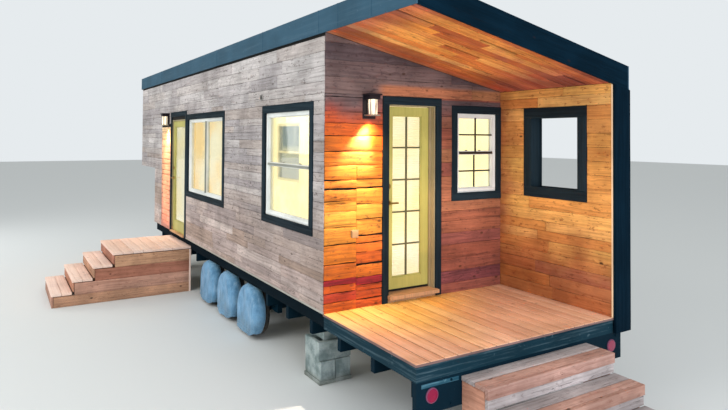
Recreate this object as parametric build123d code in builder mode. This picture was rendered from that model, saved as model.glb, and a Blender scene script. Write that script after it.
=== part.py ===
from build123d import *
import os
from math import atan, cos, degrees, radians, sin

# Tiny house on a gooseneck trailer, in millimetres.
# +Z is up, +Y runs from the porch to the raised sleeping box, +X goes across from the
# long window wall to the plain side. The origin is under the middle of everything, at the ground.

# Driving sizes of the house body
deck_height = 861
body_length = 7450
body_width = 2550
porch_depth = 1550
loft_reach = 1310
loft_rise = 1100
wall = 140
wall_rise = 2830
roof_pitch = 2.5 / 12
wall_cut_off = 400

# Floor, deck and roof build-up
floor_finish = 20
platform_depth = 153
platform_inset = 40
deck_board = 25
deck_lip = 12
rim_thick = 40
loft_floor_thick = 150
roof_thick = 180
fascia_height = 240
fascia_thick = 19
fascia_drop = 30
left_overhang = 11
right_overhang = 76
porch_overhang = 0
loft_overhang = 50
ceiling_board = 19
end_board_width = 235
end_board_thick = 30

# Windows: width, height, and the distance of the near frame edge from the porch wall or left wall
head_rise = 2040
living_window = 1220
living_window_from = 305
long_window = 1830
long_window_from = 3133
kitchen_window_from = 5650
window_height = 1219
porch_window = 610
porch_window_height = 915
porch_window_from_corner = 80
loft_window = 915
loft_window_height = 610
loft_window_head = 2080
frame_width = 45
frame_depth = 70
frame_setback = 15
meeting_rail = 24
glass_thick = 6
trim_thick = 20
trim_side = 80
trim_head = 88
trim_reveal = 10

# Unglazed opening in the porch side wall
lookout_width = 700
lookout_height = 840
lookout_from_corner = 470
lookout_sill = 1180
lookout_frame = 35

# Doors
door_gap = 5
jamb = 20
stop_width = 12
stop_depth = 24
leaf_thick = 40
side_door_opening = 910
side_door_from = 5150
side_door_sill = 28
side_door_height = 2000
side_door_setback = 20
porch_door_opening = 610
porch_door_to_window = 325
porch_door_sill = 85
porch_door_height = 2010
stile = 100
side_bottom_rail = 185
porch_bottom_rail = 145
top_rail = 95
sill_reach = 75
sill_thick = 38
knuckle_radius = 8
knuckle_length = 36
knuckle_gap = 0.3
knuckle_pocket = 1
hinge_plate = 25
hinge_plate_thick = 6
hinge_inset = 180
lever_rise = 960
lever_length = 115
lever_offset = 48
lever_radius = 9
rose_radius = 30
rose_thick = 10
deadbolt_above_lever = 180

# Trailer
rail_depth = 147
rail_width = 90
main_rail_from = 330
outrigger_from = 45
cross_pitch = 610
cross_width = 60
bumper_height = 260
bumper_thick = 50
tail_light_radius = 52
tail_light_from = 165
tail_light_drop = 120
tail_light_thick = 14
tail_light_round = 5
axle_pitch = 870
first_axle_from = 2280
axle_tube = 76
tyre_radius = 325
tyre_width = 205
tyre_shoulder = 30
wheel_bay_gap = 90
rim_radius = 190
rim_dish = 45
wheel_from = 62
cover_fit = 0.5
cover_side_gap = 12
cover_cloth = 6
cover_gap = 38
neck_post = 150
neck_spacing = 980
spring_depth = 50
spring_width = 60
hanger_width = 80
neck_beam_depth = 150
neck_setback = 60
coupler_radius = 45
coupler_drop = 620
coupler_cup_radius = 72
coupler_cup_height = 90
coupler_setback = 330
leg_size = 90
leg_foot = 220
leg_foot_thick = 20
leg_setback = 620

# Concrete block piers under the frame
pier_length = 390
pier_width = 370
pier_cap_from = 80
pier_cap_width = 250
pier_cap_height = 116
pier_from_wall = 140
near_pier_from = 330
far_pier_from = 6600

# Steps
side_steps_width = 1330
side_steps_from = 4888
side_landing = 1190
side_landing_drop = 105
side_rise = 182
side_run = 288
side_treads = 3
front_steps_width = 1530
front_steps_from = 475
front_rise = 180
front_run = 295
front_treads = 4
step_board = 38
step_nosing = 8

# Fittings
light_width = 160
light_height = 260
light_depth = 150
light_plate = 18
lantern_width = 124
lantern_from = 30
porch_light_to_door = 265
porch_light_rise = 1950
side_light_from = 6350
side_light_rise = 1930
vent_radius = 42
vent_depth = 25
vent_round = 6
vent_from = 1640
vent_rise = 2240
outlet_size = 80
outlet_depth = 45
outlet_round = 8
outlet_from = 345
outlet_rise = 770

# Key lines worked out from the driving sizes
side_run_total = side_landing + side_run * side_treads + step_nosing
front_run_total = front_run * front_treads + step_nosing
overall_width = side_run_total + body_width + right_overhang + fascia_thick
x_left = -overall_width / 2 + side_run_total
x_right = x_left + body_width
x_left_in = x_left + wall
x_right_in = x_right - wall
overall_length = front_run_total + porch_depth + body_length + loft_reach + loft_overhang + fascia_thick
y_deck = -overall_length / 2 + front_run_total
y_front = y_deck + porch_depth
y_front_in = y_front + wall
y_back = y_front + body_length
y_back_in = y_back - wall
y_loft = y_back + loft_reach
y_loft_in = y_loft - wall
z_deck = deck_height
z_floor = z_deck + floor_finish
z_loft = z_deck + loft_rise
z_loft_floor = z_loft + loft_floor_thick
z_platform = z_deck - platform_depth
z_rail = z_platform - rail_depth
z_over = z_deck + wall_rise + wall_cut_off
z_head = z_deck + head_rise
z_sill = z_head - window_height
roof_x0 = x_left - left_overhang
roof_x1 = x_right + right_overhang
roof_y0 = y_deck - porch_overhang
roof_y1 = y_loft + loft_overhang
roof_lean = degrees(atan(roof_pitch))

roof_under = Plane(origin=(x_left, 0, z_deck + wall_rise), z_dir=(roof_pitch, 0, 1))


def roof_z(x):
    """Height of the roof's underside at x."""
    return z_deck + wall_rise - roof_pitch * (x - x_left)


def block(x, y, z, mode=Mode.ADD):
    """A box between two planes each way; x, y and z are (low, high) pairs."""
    with Locations(((x[0] + x[1]) / 2, (y[0] + y[1]) / 2, (z[0] + z[1]) / 2)):
        return Box(x[1] - x[0], y[1] - y[0], z[1] - z[0], mode=mode)


def prism(plane, points, length, mode=Mode.ADD):
    """A solid with an outline of points on a plane, carried along the plane's normal."""
    with BuildSketch(plane) as outline:
        with BuildLine():
            Polyline(*points, close=True)
        make_face()
    extrude(outline.sketch, amount=length, mode=mode)


def prism_along_y(points, y0, y1, mode=Mode.ADD):
    """A solid with an outline of (x, z) points, carried from y0 to y1."""
    prism(Plane.XZ.offset(-y0), points, y0 - y1, mode)


def prism_along_x(points, x0, x1, mode=Mode.ADD):
    """A solid with an outline of (y, z) points, carried from x0 to x1."""
    prism(Plane.YZ.offset(x0), points, x1 - x0, mode)


def trim_under_roof():
    """Cut the part in hand along the roof's underside."""
    split(bisect_by=roof_under, keep=Keep.BOTTOM)


def save(part, name):
    """Label a finished piece and write its file."""
    part.label = name
    export_step(part, "parts/" + name + ".step")


os.makedirs("parts", exist_ok=True)

# Window and door places, as (low, high) pairs along the wall and up it
living_y = (y_front + living_window_from, y_front + living_window_from + living_window)
long_y = (y_front + long_window_from, y_front + long_window_from + long_window)
kitchen_y = (y_front + kitchen_window_from, y_front + kitchen_window_from + living_window)
side_window_z = (z_sill, z_head)
porch_window_x = (x_right_in - porch_window_from_corner - porch_window, x_right_in - porch_window_from_corner)
porch_window_z = (z_head - porch_window_height, z_head)
loft_window_x = (x_left + (body_width - loft_window) / 2, x_left + (body_width + loft_window) / 2)
loft_window_z = (z_deck + loft_window_head - loft_window_height, z_deck + loft_window_head)
lookout_y = (y_front - lookout_from_corner - lookout_width, y_front - lookout_from_corner)
lookout_z = (z_deck + lookout_sill, z_deck + lookout_sill + lookout_height)

side_clear_y = (y_front + side_door_from, y_front + side_door_from + side_door_opening)
side_door_z = (z_deck + side_door_sill, z_deck + side_door_sill + side_door_height)
side_rough_y = (side_clear_y[0] - jamb, side_clear_y[1] + jamb)
side_rough_top = side_door_z[1] + door_gap + jamb
porch_door_right = porch_window_x[0] - porch_door_to_window
porch_clear_x = (porch_door_right - porch_door_opening, porch_door_right)
porch_door_z = (z_deck + porch_door_sill, z_deck + porch_door_sill + porch_door_height)
porch_rough_x = (porch_clear_x[0] - jamb, porch_clear_x[1] + jamb)
porch_rough_top = porch_door_z[1] + door_gap + jamb

# Trailer chassis: two main rails, and cross members that reach out under the floor's edges
wheel_y = [y_front + first_axle_from + axle_pitch * i for i in range(3)]
wheel_bay = (wheel_y[0] - tyre_radius - wheel_bay_gap, wheel_y[2] + tyre_radius + wheel_bay_gap)
main_rail_x = (x_left + main_rail_from, x_right - main_rail_from)
frame_y = (y_deck + deck_lip + bumper_thick, y_back + neck_post)
outer_x = (x_left + outrigger_from, x_right - outrigger_from)
cross_count = round((frame_y[1] - frame_y[0]) / cross_pitch)
cross_step = (frame_y[1] - frame_y[0] - cross_width) / cross_count
cross_ys = [frame_y[0] + cross_width / 2 + cross_step * i for i in range(cross_count + 1)]
rail_z = (z_rail, z_platform)

with BuildPart() as trailer_rails:
    for x in main_rail_x:
        block((x - rail_width / 2, x + rail_width / 2), frame_y, rail_z)
save(trailer_rails.part, "trailer_rails")

middle_span = (main_rail_x[0] + rail_width / 2, main_rail_x[1] - rail_width / 2)
side_spans = [(outer_x[0], main_rail_x[0] - rail_width / 2), (main_rail_x[1] + rail_width / 2, outer_x[1])]
with BuildPart() as cross_members:
    for y in cross_ys:
        beside_wheels = wheel_bay[0] < y + cross_width / 2 and y - cross_width / 2 < wheel_bay[1]
        outside = beside_wheels or y + cross_width / 2 > y_back
        for span in [middle_span] if outside else [middle_span, *side_spans]:
            block(span, (y - cross_width / 2, y + cross_width / 2), rail_z)
save(cross_members.part, "cross_members")

# Gooseneck: two posts rising past the end wall, beams under the sleeping box, and the ball coupler
neck_z = (z_loft - neck_beam_depth, z_loft)
neck_end = y_loft - neck_setback
coupler_y = neck_end - coupler_setback
neck_middle = (x_left + x_right) / 2
neck_xs = (neck_middle - neck_spacing / 2, neck_middle + neck_spacing / 2)
with BuildPart() as gooseneck:
    for x in neck_xs:
        neck_x = (x - rail_width / 2, x + rail_width / 2)
        block(neck_x, (y_back, y_back + neck_post), (z_platform, z_loft))
        block(neck_x, (y_back, neck_end), neck_z)
    for y in (y_back + neck_post / 2, coupler_y, neck_end - cross_width / 2):
        block(neck_xs, (y - cross_width / 2, y + cross_width / 2), neck_z)
    with Locations((neck_middle, coupler_y, z_loft - coupler_drop / 2)):
        Cylinder(coupler_radius, coupler_drop)
    with Locations((neck_middle, coupler_y, z_loft - coupler_drop)):
        Cylinder(coupler_cup_radius, coupler_cup_height)
save(gooseneck.part, "gooseneck")

leg_y = y_back + leg_setback
with BuildPart() as landing_legs:
    for x in neck_xs:
        block((x - leg_size / 2, x + leg_size / 2), (leg_y - leg_size / 2, leg_y + leg_size / 2),
              (leg_foot_thick, z_loft - neck_beam_depth))
        block((x - leg_foot / 2, x + leg_foot / 2), (leg_y - leg_foot / 2, leg_y + leg_foot / 2),
              (0, leg_foot_thick))
save(landing_legs.part, "landing_legs")

# Axles: three square tubes under leaf springs that hang from the main rails
wheel_inner = wheel_from + tyre_width
axle_z = (tyre_radius - axle_tube / 2, tyre_radius + axle_tube / 2)
with BuildPart() as axles:
    for y in wheel_y:
        block((x_left + wheel_inner, x_right - wheel_inner), (y - axle_tube / 2, y + axle_tube / 2), axle_z)
save(axles.part, "axles")

hanger_ys = [wheel_y[0] - axle_pitch / 2 + axle_pitch * i for i in range(4)]
with BuildPart() as leaf_springs:
    for x in main_rail_x:
        spring_x = (x - spring_width / 2, x + spring_width / 2)
        block(spring_x, (hanger_ys[0] - hanger_width / 2, hanger_ys[-1] + hanger_width / 2),
              (axle_z[1], axle_z[1] + spring_depth))
        for y in hanger_ys:
            block(spring_x, (y - hanger_width / 2, y + hanger_width / 2), (axle_z[1], z_rail))
save(leaf_springs.part, "leaf_springs")

wheel_xs = (x_left + wheel_from + tyre_width / 2, x_right - wheel_from - tyre_width / 2)
with BuildPart() as wheels:
    for x in wheel_xs:
        outward = -1 if x < 0 else 1
        for y in wheel_y:
            with Locations(Location((x, y, tyre_radius), (0, 90, 0))):
                Cylinder(tyre_radius, tyre_width)
            with Locations(Location((x + outward * (tyre_width - rim_dish) / 2, y, tyre_radius), (0, 90, 0))):
                Cylinder(rim_radius, rim_dish, mode=Mode.SUBTRACT)
    between_rim_and_tread = (tyre_radius + rim_radius) / 2
    tread_edges = wheels.edges().filter_by(GeomType.CIRCLE).filter_by(lambda e: e.radius > between_rim_and_tread)
    fillet(tread_edges, tyre_shoulder)
save(wheels.part, "wheels")

# Cloth covers pulled over the wheels: arched over the tread, closed on the outer face
cover_radius = tyre_radius + cover_fit
cover_inner_x = tyre_width / 2 + cover_side_gap


def arch(plane, grow, foot, length, mode=Mode.ADD):
    """An arched solid round a wheel: its outline grown by a margin and cut at a foot height."""
    with BuildSketch(plane) as outline:
        with BuildLine():
            arc = CenterArc((0, tyre_radius), cover_radius + grow, 0, 180)
            Polyline(arc @ 1, (-cover_radius - grow, foot), (cover_radius + grow, foot), arc @ 0)
        make_face()
    extrude(outline.sketch, amount=length, mode=mode)


with BuildPart() as wheel_covers:
    for x in wheel_xs:
        outward = -1 if x < 0 else 1
        face = x + outward * (cover_inner_x + cover_cloth)
        for y in wheel_y:
            cover_plane = Plane(origin=(face, y, 0), x_dir=(0, -outward, 0), z_dir=(-outward, 0, 0))
            arch(cover_plane, cover_cloth, cover_gap, cover_cloth + cover_side_gap + tyre_width)
            arch(cover_plane.offset(cover_cloth), 0, 0, cover_side_gap + tyre_width, Mode.SUBTRACT)
save(wheel_covers.part, "wheel_covers")

# Piers of hollow concrete blocks, with a smaller block on top that meets the main rail
pier_xs = (x_left + pier_from_wall, x_right - pier_from_wall - pier_length)
with BuildPart() as block_piers:
    for x in pier_xs:
        for from_porch in (near_pier_from, far_pier_from):
            y = y_front + from_porch
            block((x, x + pier_length), (y, y + pier_width), (0, z_rail - pier_cap_height))
            cap_x = (x + pier_cap_from, x + pier_length) if x < 0 else (x, x + pier_length - pier_cap_from)
            cap_y = y + (pier_width - pier_cap_width) / 2
            block(cap_x, (cap_y, cap_y + pier_cap_width), (z_rail - pier_cap_height, z_rail))
save(block_piers.part, "block_piers")

# Floor: an insulated platform on the rails, with the finished floor between the walls
with BuildPart() as floor:
    block((x_left + platform_inset, x_right - platform_inset), (y_front, y_back - platform_inset),
          (z_platform, z_deck))
    block((x_left_in, x_right_in), (y_front_in, y_back_in), (z_deck, z_floor))
save(floor.part, "floor")

# Porch: boards on a steel rim, and the rear bumper with its lights below
rim_x = (x_left + deck_lip, x_right - deck_lip)
rim_top = z_deck - deck_board
rim_z = (z_platform, rim_top)
with BuildPart() as porch_deck:
    block((x_left, x_right_in), (y_deck, y_front), (rim_top, z_deck))
save(porch_deck.part, "porch_deck")

with BuildPart() as porch_rim:
    block(rim_x, (y_deck + deck_lip, y_deck + deck_lip + rim_thick), rim_z)
    for x in (rim_x[0], (x_left + x_right - rim_thick) / 2, rim_x[1] - rim_thick):
        block((x, x + rim_thick), (y_deck + deck_lip, y_front), rim_z)
save(porch_rim.part, "porch_rim")

bumper_y = (y_deck + deck_lip, y_deck + deck_lip + bumper_thick)
bumper_z = (z_platform - bumper_height, z_platform)
with BuildPart() as bumper:
    block(rim_x, bumper_y, bumper_z)
save(bumper.part, "bumper")

with BuildPart() as tail_lights:
    for x in (x_left + tail_light_from, x_right - tail_light_from):
        with Locations(Location((x, bumper_y[0] - tail_light_thick / 2, z_platform - tail_light_drop),
                                (90, 0, 0))):
            Cylinder(tail_light_radius, tail_light_thick)
    fillet(tail_lights.edges().filter_by(GeomType.CIRCLE).group_by(Axis.Y)[0], tail_light_round)
save(tail_lights.part, "tail_lights")

# Long window wall, split beside and over the side door
wall_z = (z_deck, z_over)
with BuildPart() as left_wall_near:
    block((x_left, x_left_in), (y_front, side_rough_y[0]), wall_z)
    for y in (living_y, long_y):
        block((x_left, x_left_in), y, side_window_z, mode=Mode.SUBTRACT)
    trim_under_roof()
save(left_wall_near.part, "left_wall_near")

with BuildPart() as left_wall_over_door:
    block((x_left, x_left_in), side_rough_y, (side_rough_top, z_over))
    trim_under_roof()
save(left_wall_over_door.part, "left_wall_over_door")

with BuildPart() as left_wall_far:
    block((x_left, x_left_in), (side_rough_y[1], y_back), wall_z)
    block((x_left, x_left_in), (side_rough_y[1], y_loft), (z_loft, z_over))
    trim_under_roof()
save(left_wall_far.part, "left_wall_far")

# Opposite wall, with windows of the same two sizes
with BuildPart() as right_wall:
    block((x_right_in, x_right), (y_front, y_back), wall_z)
    block((x_right_in, x_right), (y_front, y_loft), (z_loft, z_over))
    for y in (kitchen_y, long_y):
        block((x_right_in, x_right), y, side_window_z, mode=Mode.SUBTRACT)
    trim_under_roof()
save(right_wall.part, "right_wall")

# Porch side wall with its unglazed opening
with BuildPart() as porch_side_wall:
    block((x_right_in, x_right), (y_deck, y_front), wall_z)
    block((x_right_in, x_right), lookout_y, lookout_z, mode=Mode.SUBTRACT)
    trim_under_roof()
save(porch_side_wall.part, "porch_side_wall")

# Porch wall, split beside and over the door
front_y = (y_front, y_front_in)
with BuildPart() as porch_wall_left:
    block((x_left_in, porch_rough_x[0]), front_y, wall_z)
    trim_under_roof()
save(porch_wall_left.part, "porch_wall_left")

with BuildPart() as porch_wall_over_door:
    block(porch_rough_x, front_y, (porch_rough_top, z_over))
    trim_under_roof()
save(porch_wall_over_door.part, "porch_wall_over_door")

with BuildPart() as porch_wall_right:
    block((porch_rough_x[1], x_right_in), front_y, wall_z)
    block(porch_window_x, front_y, porch_window_z, mode=Mode.SUBTRACT)
    trim_under_roof()
save(porch_wall_right.part, "porch_wall_right")

# End walls under and behind the sleeping box, and the box's floor
with BuildPart() as end_wall:
    block((x_left_in, x_right_in), (y_back_in, y_back), (z_deck, z_loft))
save(end_wall.part, "end_wall")

with BuildPart() as loft_end_wall:
    block((x_left_in, x_right_in), (y_loft_in, y_loft), (z_loft, z_over))
    block(loft_window_x, (y_loft_in, y_loft), loft_window_z, mode=Mode.SUBTRACT)
    trim_under_roof()
save(loft_end_wall.part, "loft_end_wall")

with BuildPart() as loft_floor:
    block((x_left_in, x_right_in), (y_back_in, y_loft_in), (z_loft, z_loft_floor))
save(loft_floor.part, "loft_floor")

# Roof: one sloping panel, fascia boards round it, and the boarded porch ceiling
with BuildPart() as roof_panel:
    prism_along_y([(roof_x0, roof_z(roof_x0)), (roof_x1, roof_z(roof_x1)),
                   (roof_x1, roof_z(roof_x1) + roof_thick), (roof_x0, roof_z(roof_x0) + roof_thick)],
                  roof_y0, roof_y1)
save(roof_panel.part, "roof_panel")

fascia_x = (roof_x0 - fascia_thick, roof_x1 + fascia_thick)
with BuildPart() as side_fascias:
    for x, out in ((roof_x0, -fascia_thick), (roof_x1, fascia_thick)):
        low = roof_z(x) - fascia_drop
        block((min(x, x + out), max(x, x + out)), (roof_y0 - fascia_thick, roof_y1 + fascia_thick),
              (low, low + fascia_height))
save(side_fascias.part, "side_fascias")

with BuildPart() as end_fascias:
    for y0 in (roof_y0 - fascia_thick, roof_y1):
        low0 = roof_z(roof_x0) - fascia_drop
        low1 = roof_z(roof_x1) - fascia_drop
        prism_along_y([(roof_x0, low0), (roof_x1, low1), (roof_x1, low1 + fascia_height),
                       (roof_x0, low0 + fascia_height)], y0, y0 + fascia_thick)
save(end_fascias.part, "end_fascias")

with BuildPart() as porch_ceiling:
    prism_along_y([(roof_x0, roof_z(roof_x0) - ceiling_board), (x_right_in, roof_z(x_right_in) - ceiling_board),
                   (x_right_in, roof_z(x_right_in)), (roof_x0, roof_z(roof_x0))], roof_y0, y_front)
save(porch_ceiling.part, "porch_ceiling")

end_board_x = (fascia_x[1] - end_board_width, fascia_x[1])
with BuildPart() as porch_end_board:
    block(end_board_x, (y_deck - end_board_thick, y_deck), (z_platform, z_over))
    split(bisect_by=roof_under.offset(-fascia_drop * cos(radians(roof_lean))), keep=Keep.BOTTOM)
save(porch_end_board.part, "porch_end_board")


def frame_ring(along, up, depth_low, depth_high, across):
    """A window frame ring in a wall; across names the wall's normal, x or y."""
    inner_along = (along[0] + frame_width, along[1] - frame_width)
    inner_up = (up[0] + frame_width, up[1] - frame_width)
    depth = (depth_low, depth_high)
    if across == "x":
        block(depth, along, up)
        block(depth, inner_along, inner_up, mode=Mode.SUBTRACT)
    else:
        block(along, depth, up)
        block(inner_along, depth, inner_up, mode=Mode.SUBTRACT)
    return inner_along, inner_up


# White vinyl window frames, each with its meeting rail or stile
left_frame_x = (x_left + frame_setback, x_left + frame_setback + frame_depth)
right_frame_x = (x_right - frame_setback - frame_depth, x_right - frame_setback)
meeting_z = ((z_sill + z_head - meeting_rail) / 2, (z_sill + z_head + meeting_rail) / 2)
meeting_y = ((long_y[0] + long_y[1] - meeting_rail) / 2, (long_y[0] + long_y[1] + meeting_rail) / 2)


def side_window_frames(depth, hung_y):
    """The single-hung and the sliding window frame of one long wall."""
    inner_y, inner_z = frame_ring(hung_y, side_window_z, *depth, "x")
    block(depth, inner_y, meeting_z)
    inner_y, inner_z = frame_ring(long_y, side_window_z, *depth, "x")
    block(depth, meeting_y, inner_z)


with BuildPart() as left_window_frames:
    side_window_frames(left_frame_x, living_y)
save(left_window_frames.part, "left_window_frames")

with BuildPart() as right_window_frames:
    side_window_frames(right_frame_x, kitchen_y)
save(right_window_frames.part, "right_window_frames")

porch_frame_y = (y_front + frame_setback, y_front + frame_setback + frame_depth)
porch_meeting = ((porch_window_z[0] + porch_window_z[1] - meeting_rail) / 2,
                 (porch_window_z[0] + porch_window_z[1] + meeting_rail) / 2)
with BuildPart() as porch_window_frame:
    inner_x, inner_z = frame_ring(porch_window_x, porch_window_z, *porch_frame_y, "y")
    block(inner_x, porch_frame_y, porch_meeting)
save(porch_window_frame.part, "porch_window_frame")

loft_frame_y = (y_loft - frame_setback - frame_depth, y_loft - frame_setback)
loft_meeting = ((loft_window_x[0] + loft_window_x[1] - meeting_rail) / 2,
                (loft_window_x[0] + loft_window_x[1] + meeting_rail) / 2)
with BuildPart() as loft_window_frame:
    inner_x, inner_z = frame_ring(loft_window_x, loft_window_z, *loft_frame_y, "y")
    block(loft_meeting, loft_frame_y, inner_z)
save(loft_window_frame.part, "loft_window_frame")

# Glass: two panes in every window, one each side of its meeting rail
inner_living_y = (living_y[0] + frame_width, living_y[1] - frame_width)
inner_kitchen_y = (kitchen_y[0] + frame_width, kitchen_y[1] - frame_width)
inner_long_y = (long_y[0] + frame_width, long_y[1] - frame_width)
inner_side_z = (z_sill + frame_width, z_head - frame_width)
inner_porch_x = (porch_window_x[0] + frame_width, porch_window_x[1] - frame_width)
inner_porch_z = (porch_window_z[0] + frame_width, porch_window_z[1] - frame_width)
inner_loft_x = (loft_window_x[0] + frame_width, loft_window_x[1] - frame_width)
inner_loft_z = (loft_window_z[0] + frame_width, loft_window_z[1] - frame_width)


def middle(pair):
    """A pane's thickness, centred between two faces."""
    return ((pair[0] + pair[1] - glass_thick) / 2, (pair[0] + pair[1] + glass_thick) / 2)


with BuildPart() as window_glass:
    for depth, hung_y in ((left_frame_x, inner_living_y), (right_frame_x, inner_kitchen_y)):
        for up in ((inner_side_z[0], meeting_z[0]), (meeting_z[1], inner_side_z[1])):
            block(middle(depth), hung_y, up)
        for along in ((inner_long_y[0], meeting_y[0]), (meeting_y[1], inner_long_y[1])):
            block(middle(depth), along, inner_side_z)
    for up in ((inner_porch_z[0], porch_meeting[0]), (porch_meeting[1], inner_porch_z[1])):
        block(inner_porch_x, middle(porch_frame_y), up)
    for along in ((inner_loft_x[0], loft_meeting[0]), (loft_meeting[1], inner_loft_x[1])):
        block(along, middle(loft_frame_y), inner_loft_z)
save(window_glass.part, "window_glass")


def trim_ring(along, up, depth, across, sill=True):
    """Flat boards round an opening, outside the wall: sides, head and, on a window, a sill board."""
    outer_along = (along[0] - trim_side, along[1] + trim_side)
    outer_up = (up[0] - (trim_head if sill else 0), up[1] + trim_head)
    if across == "x":
        block(depth, outer_along, outer_up)
        block(depth, along, up, mode=Mode.SUBTRACT)
    else:
        block(outer_along, depth, outer_up)
        block(along, depth, up, mode=Mode.SUBTRACT)


# Dark boards round the windows
with BuildPart() as window_trim:
    for depth, hung_y in (((x_left - trim_thick, x_left), living_y), ((x_right, x_right + trim_thick), kitchen_y)):
        for along in (hung_y, long_y):
            trim_ring(along, side_window_z, depth, "x")
    trim_ring(porch_window_x, porch_window_z, (y_front - trim_thick, y_front), "y")
    trim_ring(loft_window_x, loft_window_z, (y_loft, y_loft + trim_thick), "y")
save(window_trim.part, "window_trim")

# Dark lining and boards of the unglazed opening, proud of both faces of the porch side wall
lookout_x = (x_right_in - trim_thick, x_right + trim_thick)
lookout_hole_y = (lookout_y[0] + lookout_frame, lookout_y[1] - lookout_frame)
lookout_hole_z = (lookout_z[0] + lookout_frame, lookout_z[1] - lookout_frame)
with BuildPart() as lookout_frame_boards:
    block(lookout_x, lookout_y, lookout_z)
    for x in ((lookout_x[0], x_right_in), (x_right, lookout_x[1])):
        block(x, (lookout_y[0] - trim_side, lookout_y[1] + trim_side),
              (lookout_z[0] - trim_side, lookout_z[1] + trim_side))
    block(lookout_x, lookout_hole_y, lookout_hole_z, mode=Mode.SUBTRACT)
save(lookout_frame_boards.part, "lookout_frame")

# Side door: it opens outwards over the landing, hung on the jamb nearer the porch
side_leaf_x = (x_left + side_door_setback, x_left + side_door_setback + leaf_thick)
side_leaf_y = (side_clear_y[0] + door_gap, side_clear_y[1] - door_gap)
side_hinge = (side_leaf_x[0] - knuckle_radius, side_clear_y[0] + door_gap / 2)
porch_leaf_y = (y_front_in - leaf_thick, y_front_in)
porch_leaf_x = (porch_clear_x[0] + door_gap, porch_clear_x[1] - door_gap)
porch_hinge = (porch_clear_x[1] - door_gap / 2, y_front_in + knuckle_radius)


def hinge_heights(door_z):
    """Middle heights of a door's three hinges."""
    return (door_z[0] + hinge_inset, (door_z[0] + door_z[1]) / 2, door_z[1] - hinge_inset)


def knuckles(at, heights, length, mode=Mode.ADD, radius=knuckle_radius):
    """Upright hinge barrels of one length at the given heights."""
    for z in heights:
        with Locations((at[0], at[1], z)):
            Cylinder(radius, length, mode=mode)


def fixed_knuckle_heights(door_z):
    """Heights of the frame's knuckles, one under and one over each of the leaf's."""
    shift = knuckle_length + knuckle_gap
    return [z + side * shift for z in hinge_heights(door_z) for side in (-1, 1)]


side_sill_z = (z_deck, side_door_z[0] - door_gap)
with BuildPart() as side_door_frame:
    block((x_left, x_left_in), side_rough_y, (z_deck, side_rough_top))
    block((x_left, x_left_in), side_clear_y, (side_sill_z[1], side_door_z[1] + door_gap), mode=Mode.SUBTRACT)
    stop_x = (side_leaf_x[1] + door_gap, side_leaf_x[1] + door_gap + stop_depth)
    for y in ((side_clear_y[0], side_clear_y[0] + stop_width), (side_clear_y[1] - stop_width, side_clear_y[1])):
        block(stop_x, y, (side_sill_z[1], side_door_z[1] + door_gap))
    block((x_left - sill_thick, x_left), (side_rough_y[0] + jamb, side_rough_y[1] - jamb),
          (z_deck, side_sill_z[1]))
    knuckles(side_hinge, hinge_heights(side_door_z), 3 * knuckle_length + 4 * knuckle_gap,
             mode=Mode.SUBTRACT, radius=knuckle_radius + knuckle_pocket)
    knuckles(side_hinge, fixed_knuckle_heights(side_door_z), knuckle_length)
    for z in fixed_knuckle_heights(side_door_z):
        block((side_hinge[0] - hinge_plate_thick / 2, side_hinge[0] + hinge_plate_thick / 2),
              (side_rough_y[0], side_hinge[1]), (z - knuckle_length / 2, z + knuckle_length / 2))
save(side_door_frame.part, "side_door_frame")

with BuildPart() as side_door_leaf:
    block(side_leaf_x, side_leaf_y, side_door_z)
    block(side_leaf_x, (side_leaf_y[0] + stile, side_leaf_y[1] - stile),
          (side_door_z[0] + side_bottom_rail, side_door_z[1] - top_rail), mode=Mode.SUBTRACT)
    knuckles(side_hinge, hinge_heights(side_door_z), knuckle_length)
    for z in hinge_heights(side_door_z):
        block((side_leaf_x[0] - hinge_plate_thick, side_leaf_x[0]), (side_hinge[1], side_leaf_y[0] + hinge_plate),
              (z - knuckle_length / 2, z + knuckle_length / 2))
save(side_door_leaf.part, "side_door_leaf")

with BuildPart() as side_door_glass:
    block(middle(side_leaf_x), (side_leaf_y[0] + stile, side_leaf_y[1] - stile),
          (side_door_z[0] + side_bottom_rail, side_door_z[1] - top_rail))
save(side_door_glass.part, "side_door_glass")

# Porch door: it opens inwards, hung on the jamb away from the long wall
porch_sill_z = (z_deck, porch_door_z[0] - door_gap)
with BuildPart() as porch_door_frame:
    block(porch_rough_x, front_y, (z_deck, porch_rough_top))
    block(porch_clear_x, front_y, (porch_sill_z[1], porch_door_z[1] + door_gap), mode=Mode.SUBTRACT)
    stop_y = (porch_leaf_y[0] - door_gap - stop_depth, porch_leaf_y[0] - door_gap)
    for x in ((porch_clear_x[0], porch_clear_x[0] + stop_width), (porch_clear_x[1] - stop_width, porch_clear_x[1])):
        block(x, stop_y, (porch_sill_z[1], porch_door_z[1] + door_gap))
    block(porch_rough_x, (y_front - sill_reach, y_front), (porch_sill_z[1] - sill_thick, porch_sill_z[1]))
    knuckles(porch_hinge, fixed_knuckle_heights(porch_door_z), knuckle_length)
    for z in fixed_knuckle_heights(porch_door_z):
        block((porch_hinge[0], porch_clear_x[1] + jamb), (y_front_in, y_front_in + hinge_plate_thick),
              (z - knuckle_length / 2, z + knuckle_length / 2))
save(porch_door_frame.part, "porch_door_frame")

with BuildPart() as porch_door_leaf:
    block(porch_leaf_x, porch_leaf_y, porch_door_z)
    block((porch_leaf_x[0] + stile, porch_leaf_x[1] - stile), porch_leaf_y,
          (porch_door_z[0] + porch_bottom_rail, porch_door_z[1] - top_rail), mode=Mode.SUBTRACT)
    knuckles(porch_hinge, hinge_heights(porch_door_z), knuckle_length)
    for z in hinge_heights(porch_door_z):
        block((porch_leaf_x[1] - hinge_plate, porch_hinge[0]), (y_front_in, y_front_in + hinge_plate_thick),
              (z - knuckle_length / 2, z + knuckle_length / 2))
save(porch_door_leaf.part, "porch_door_leaf")

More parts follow.
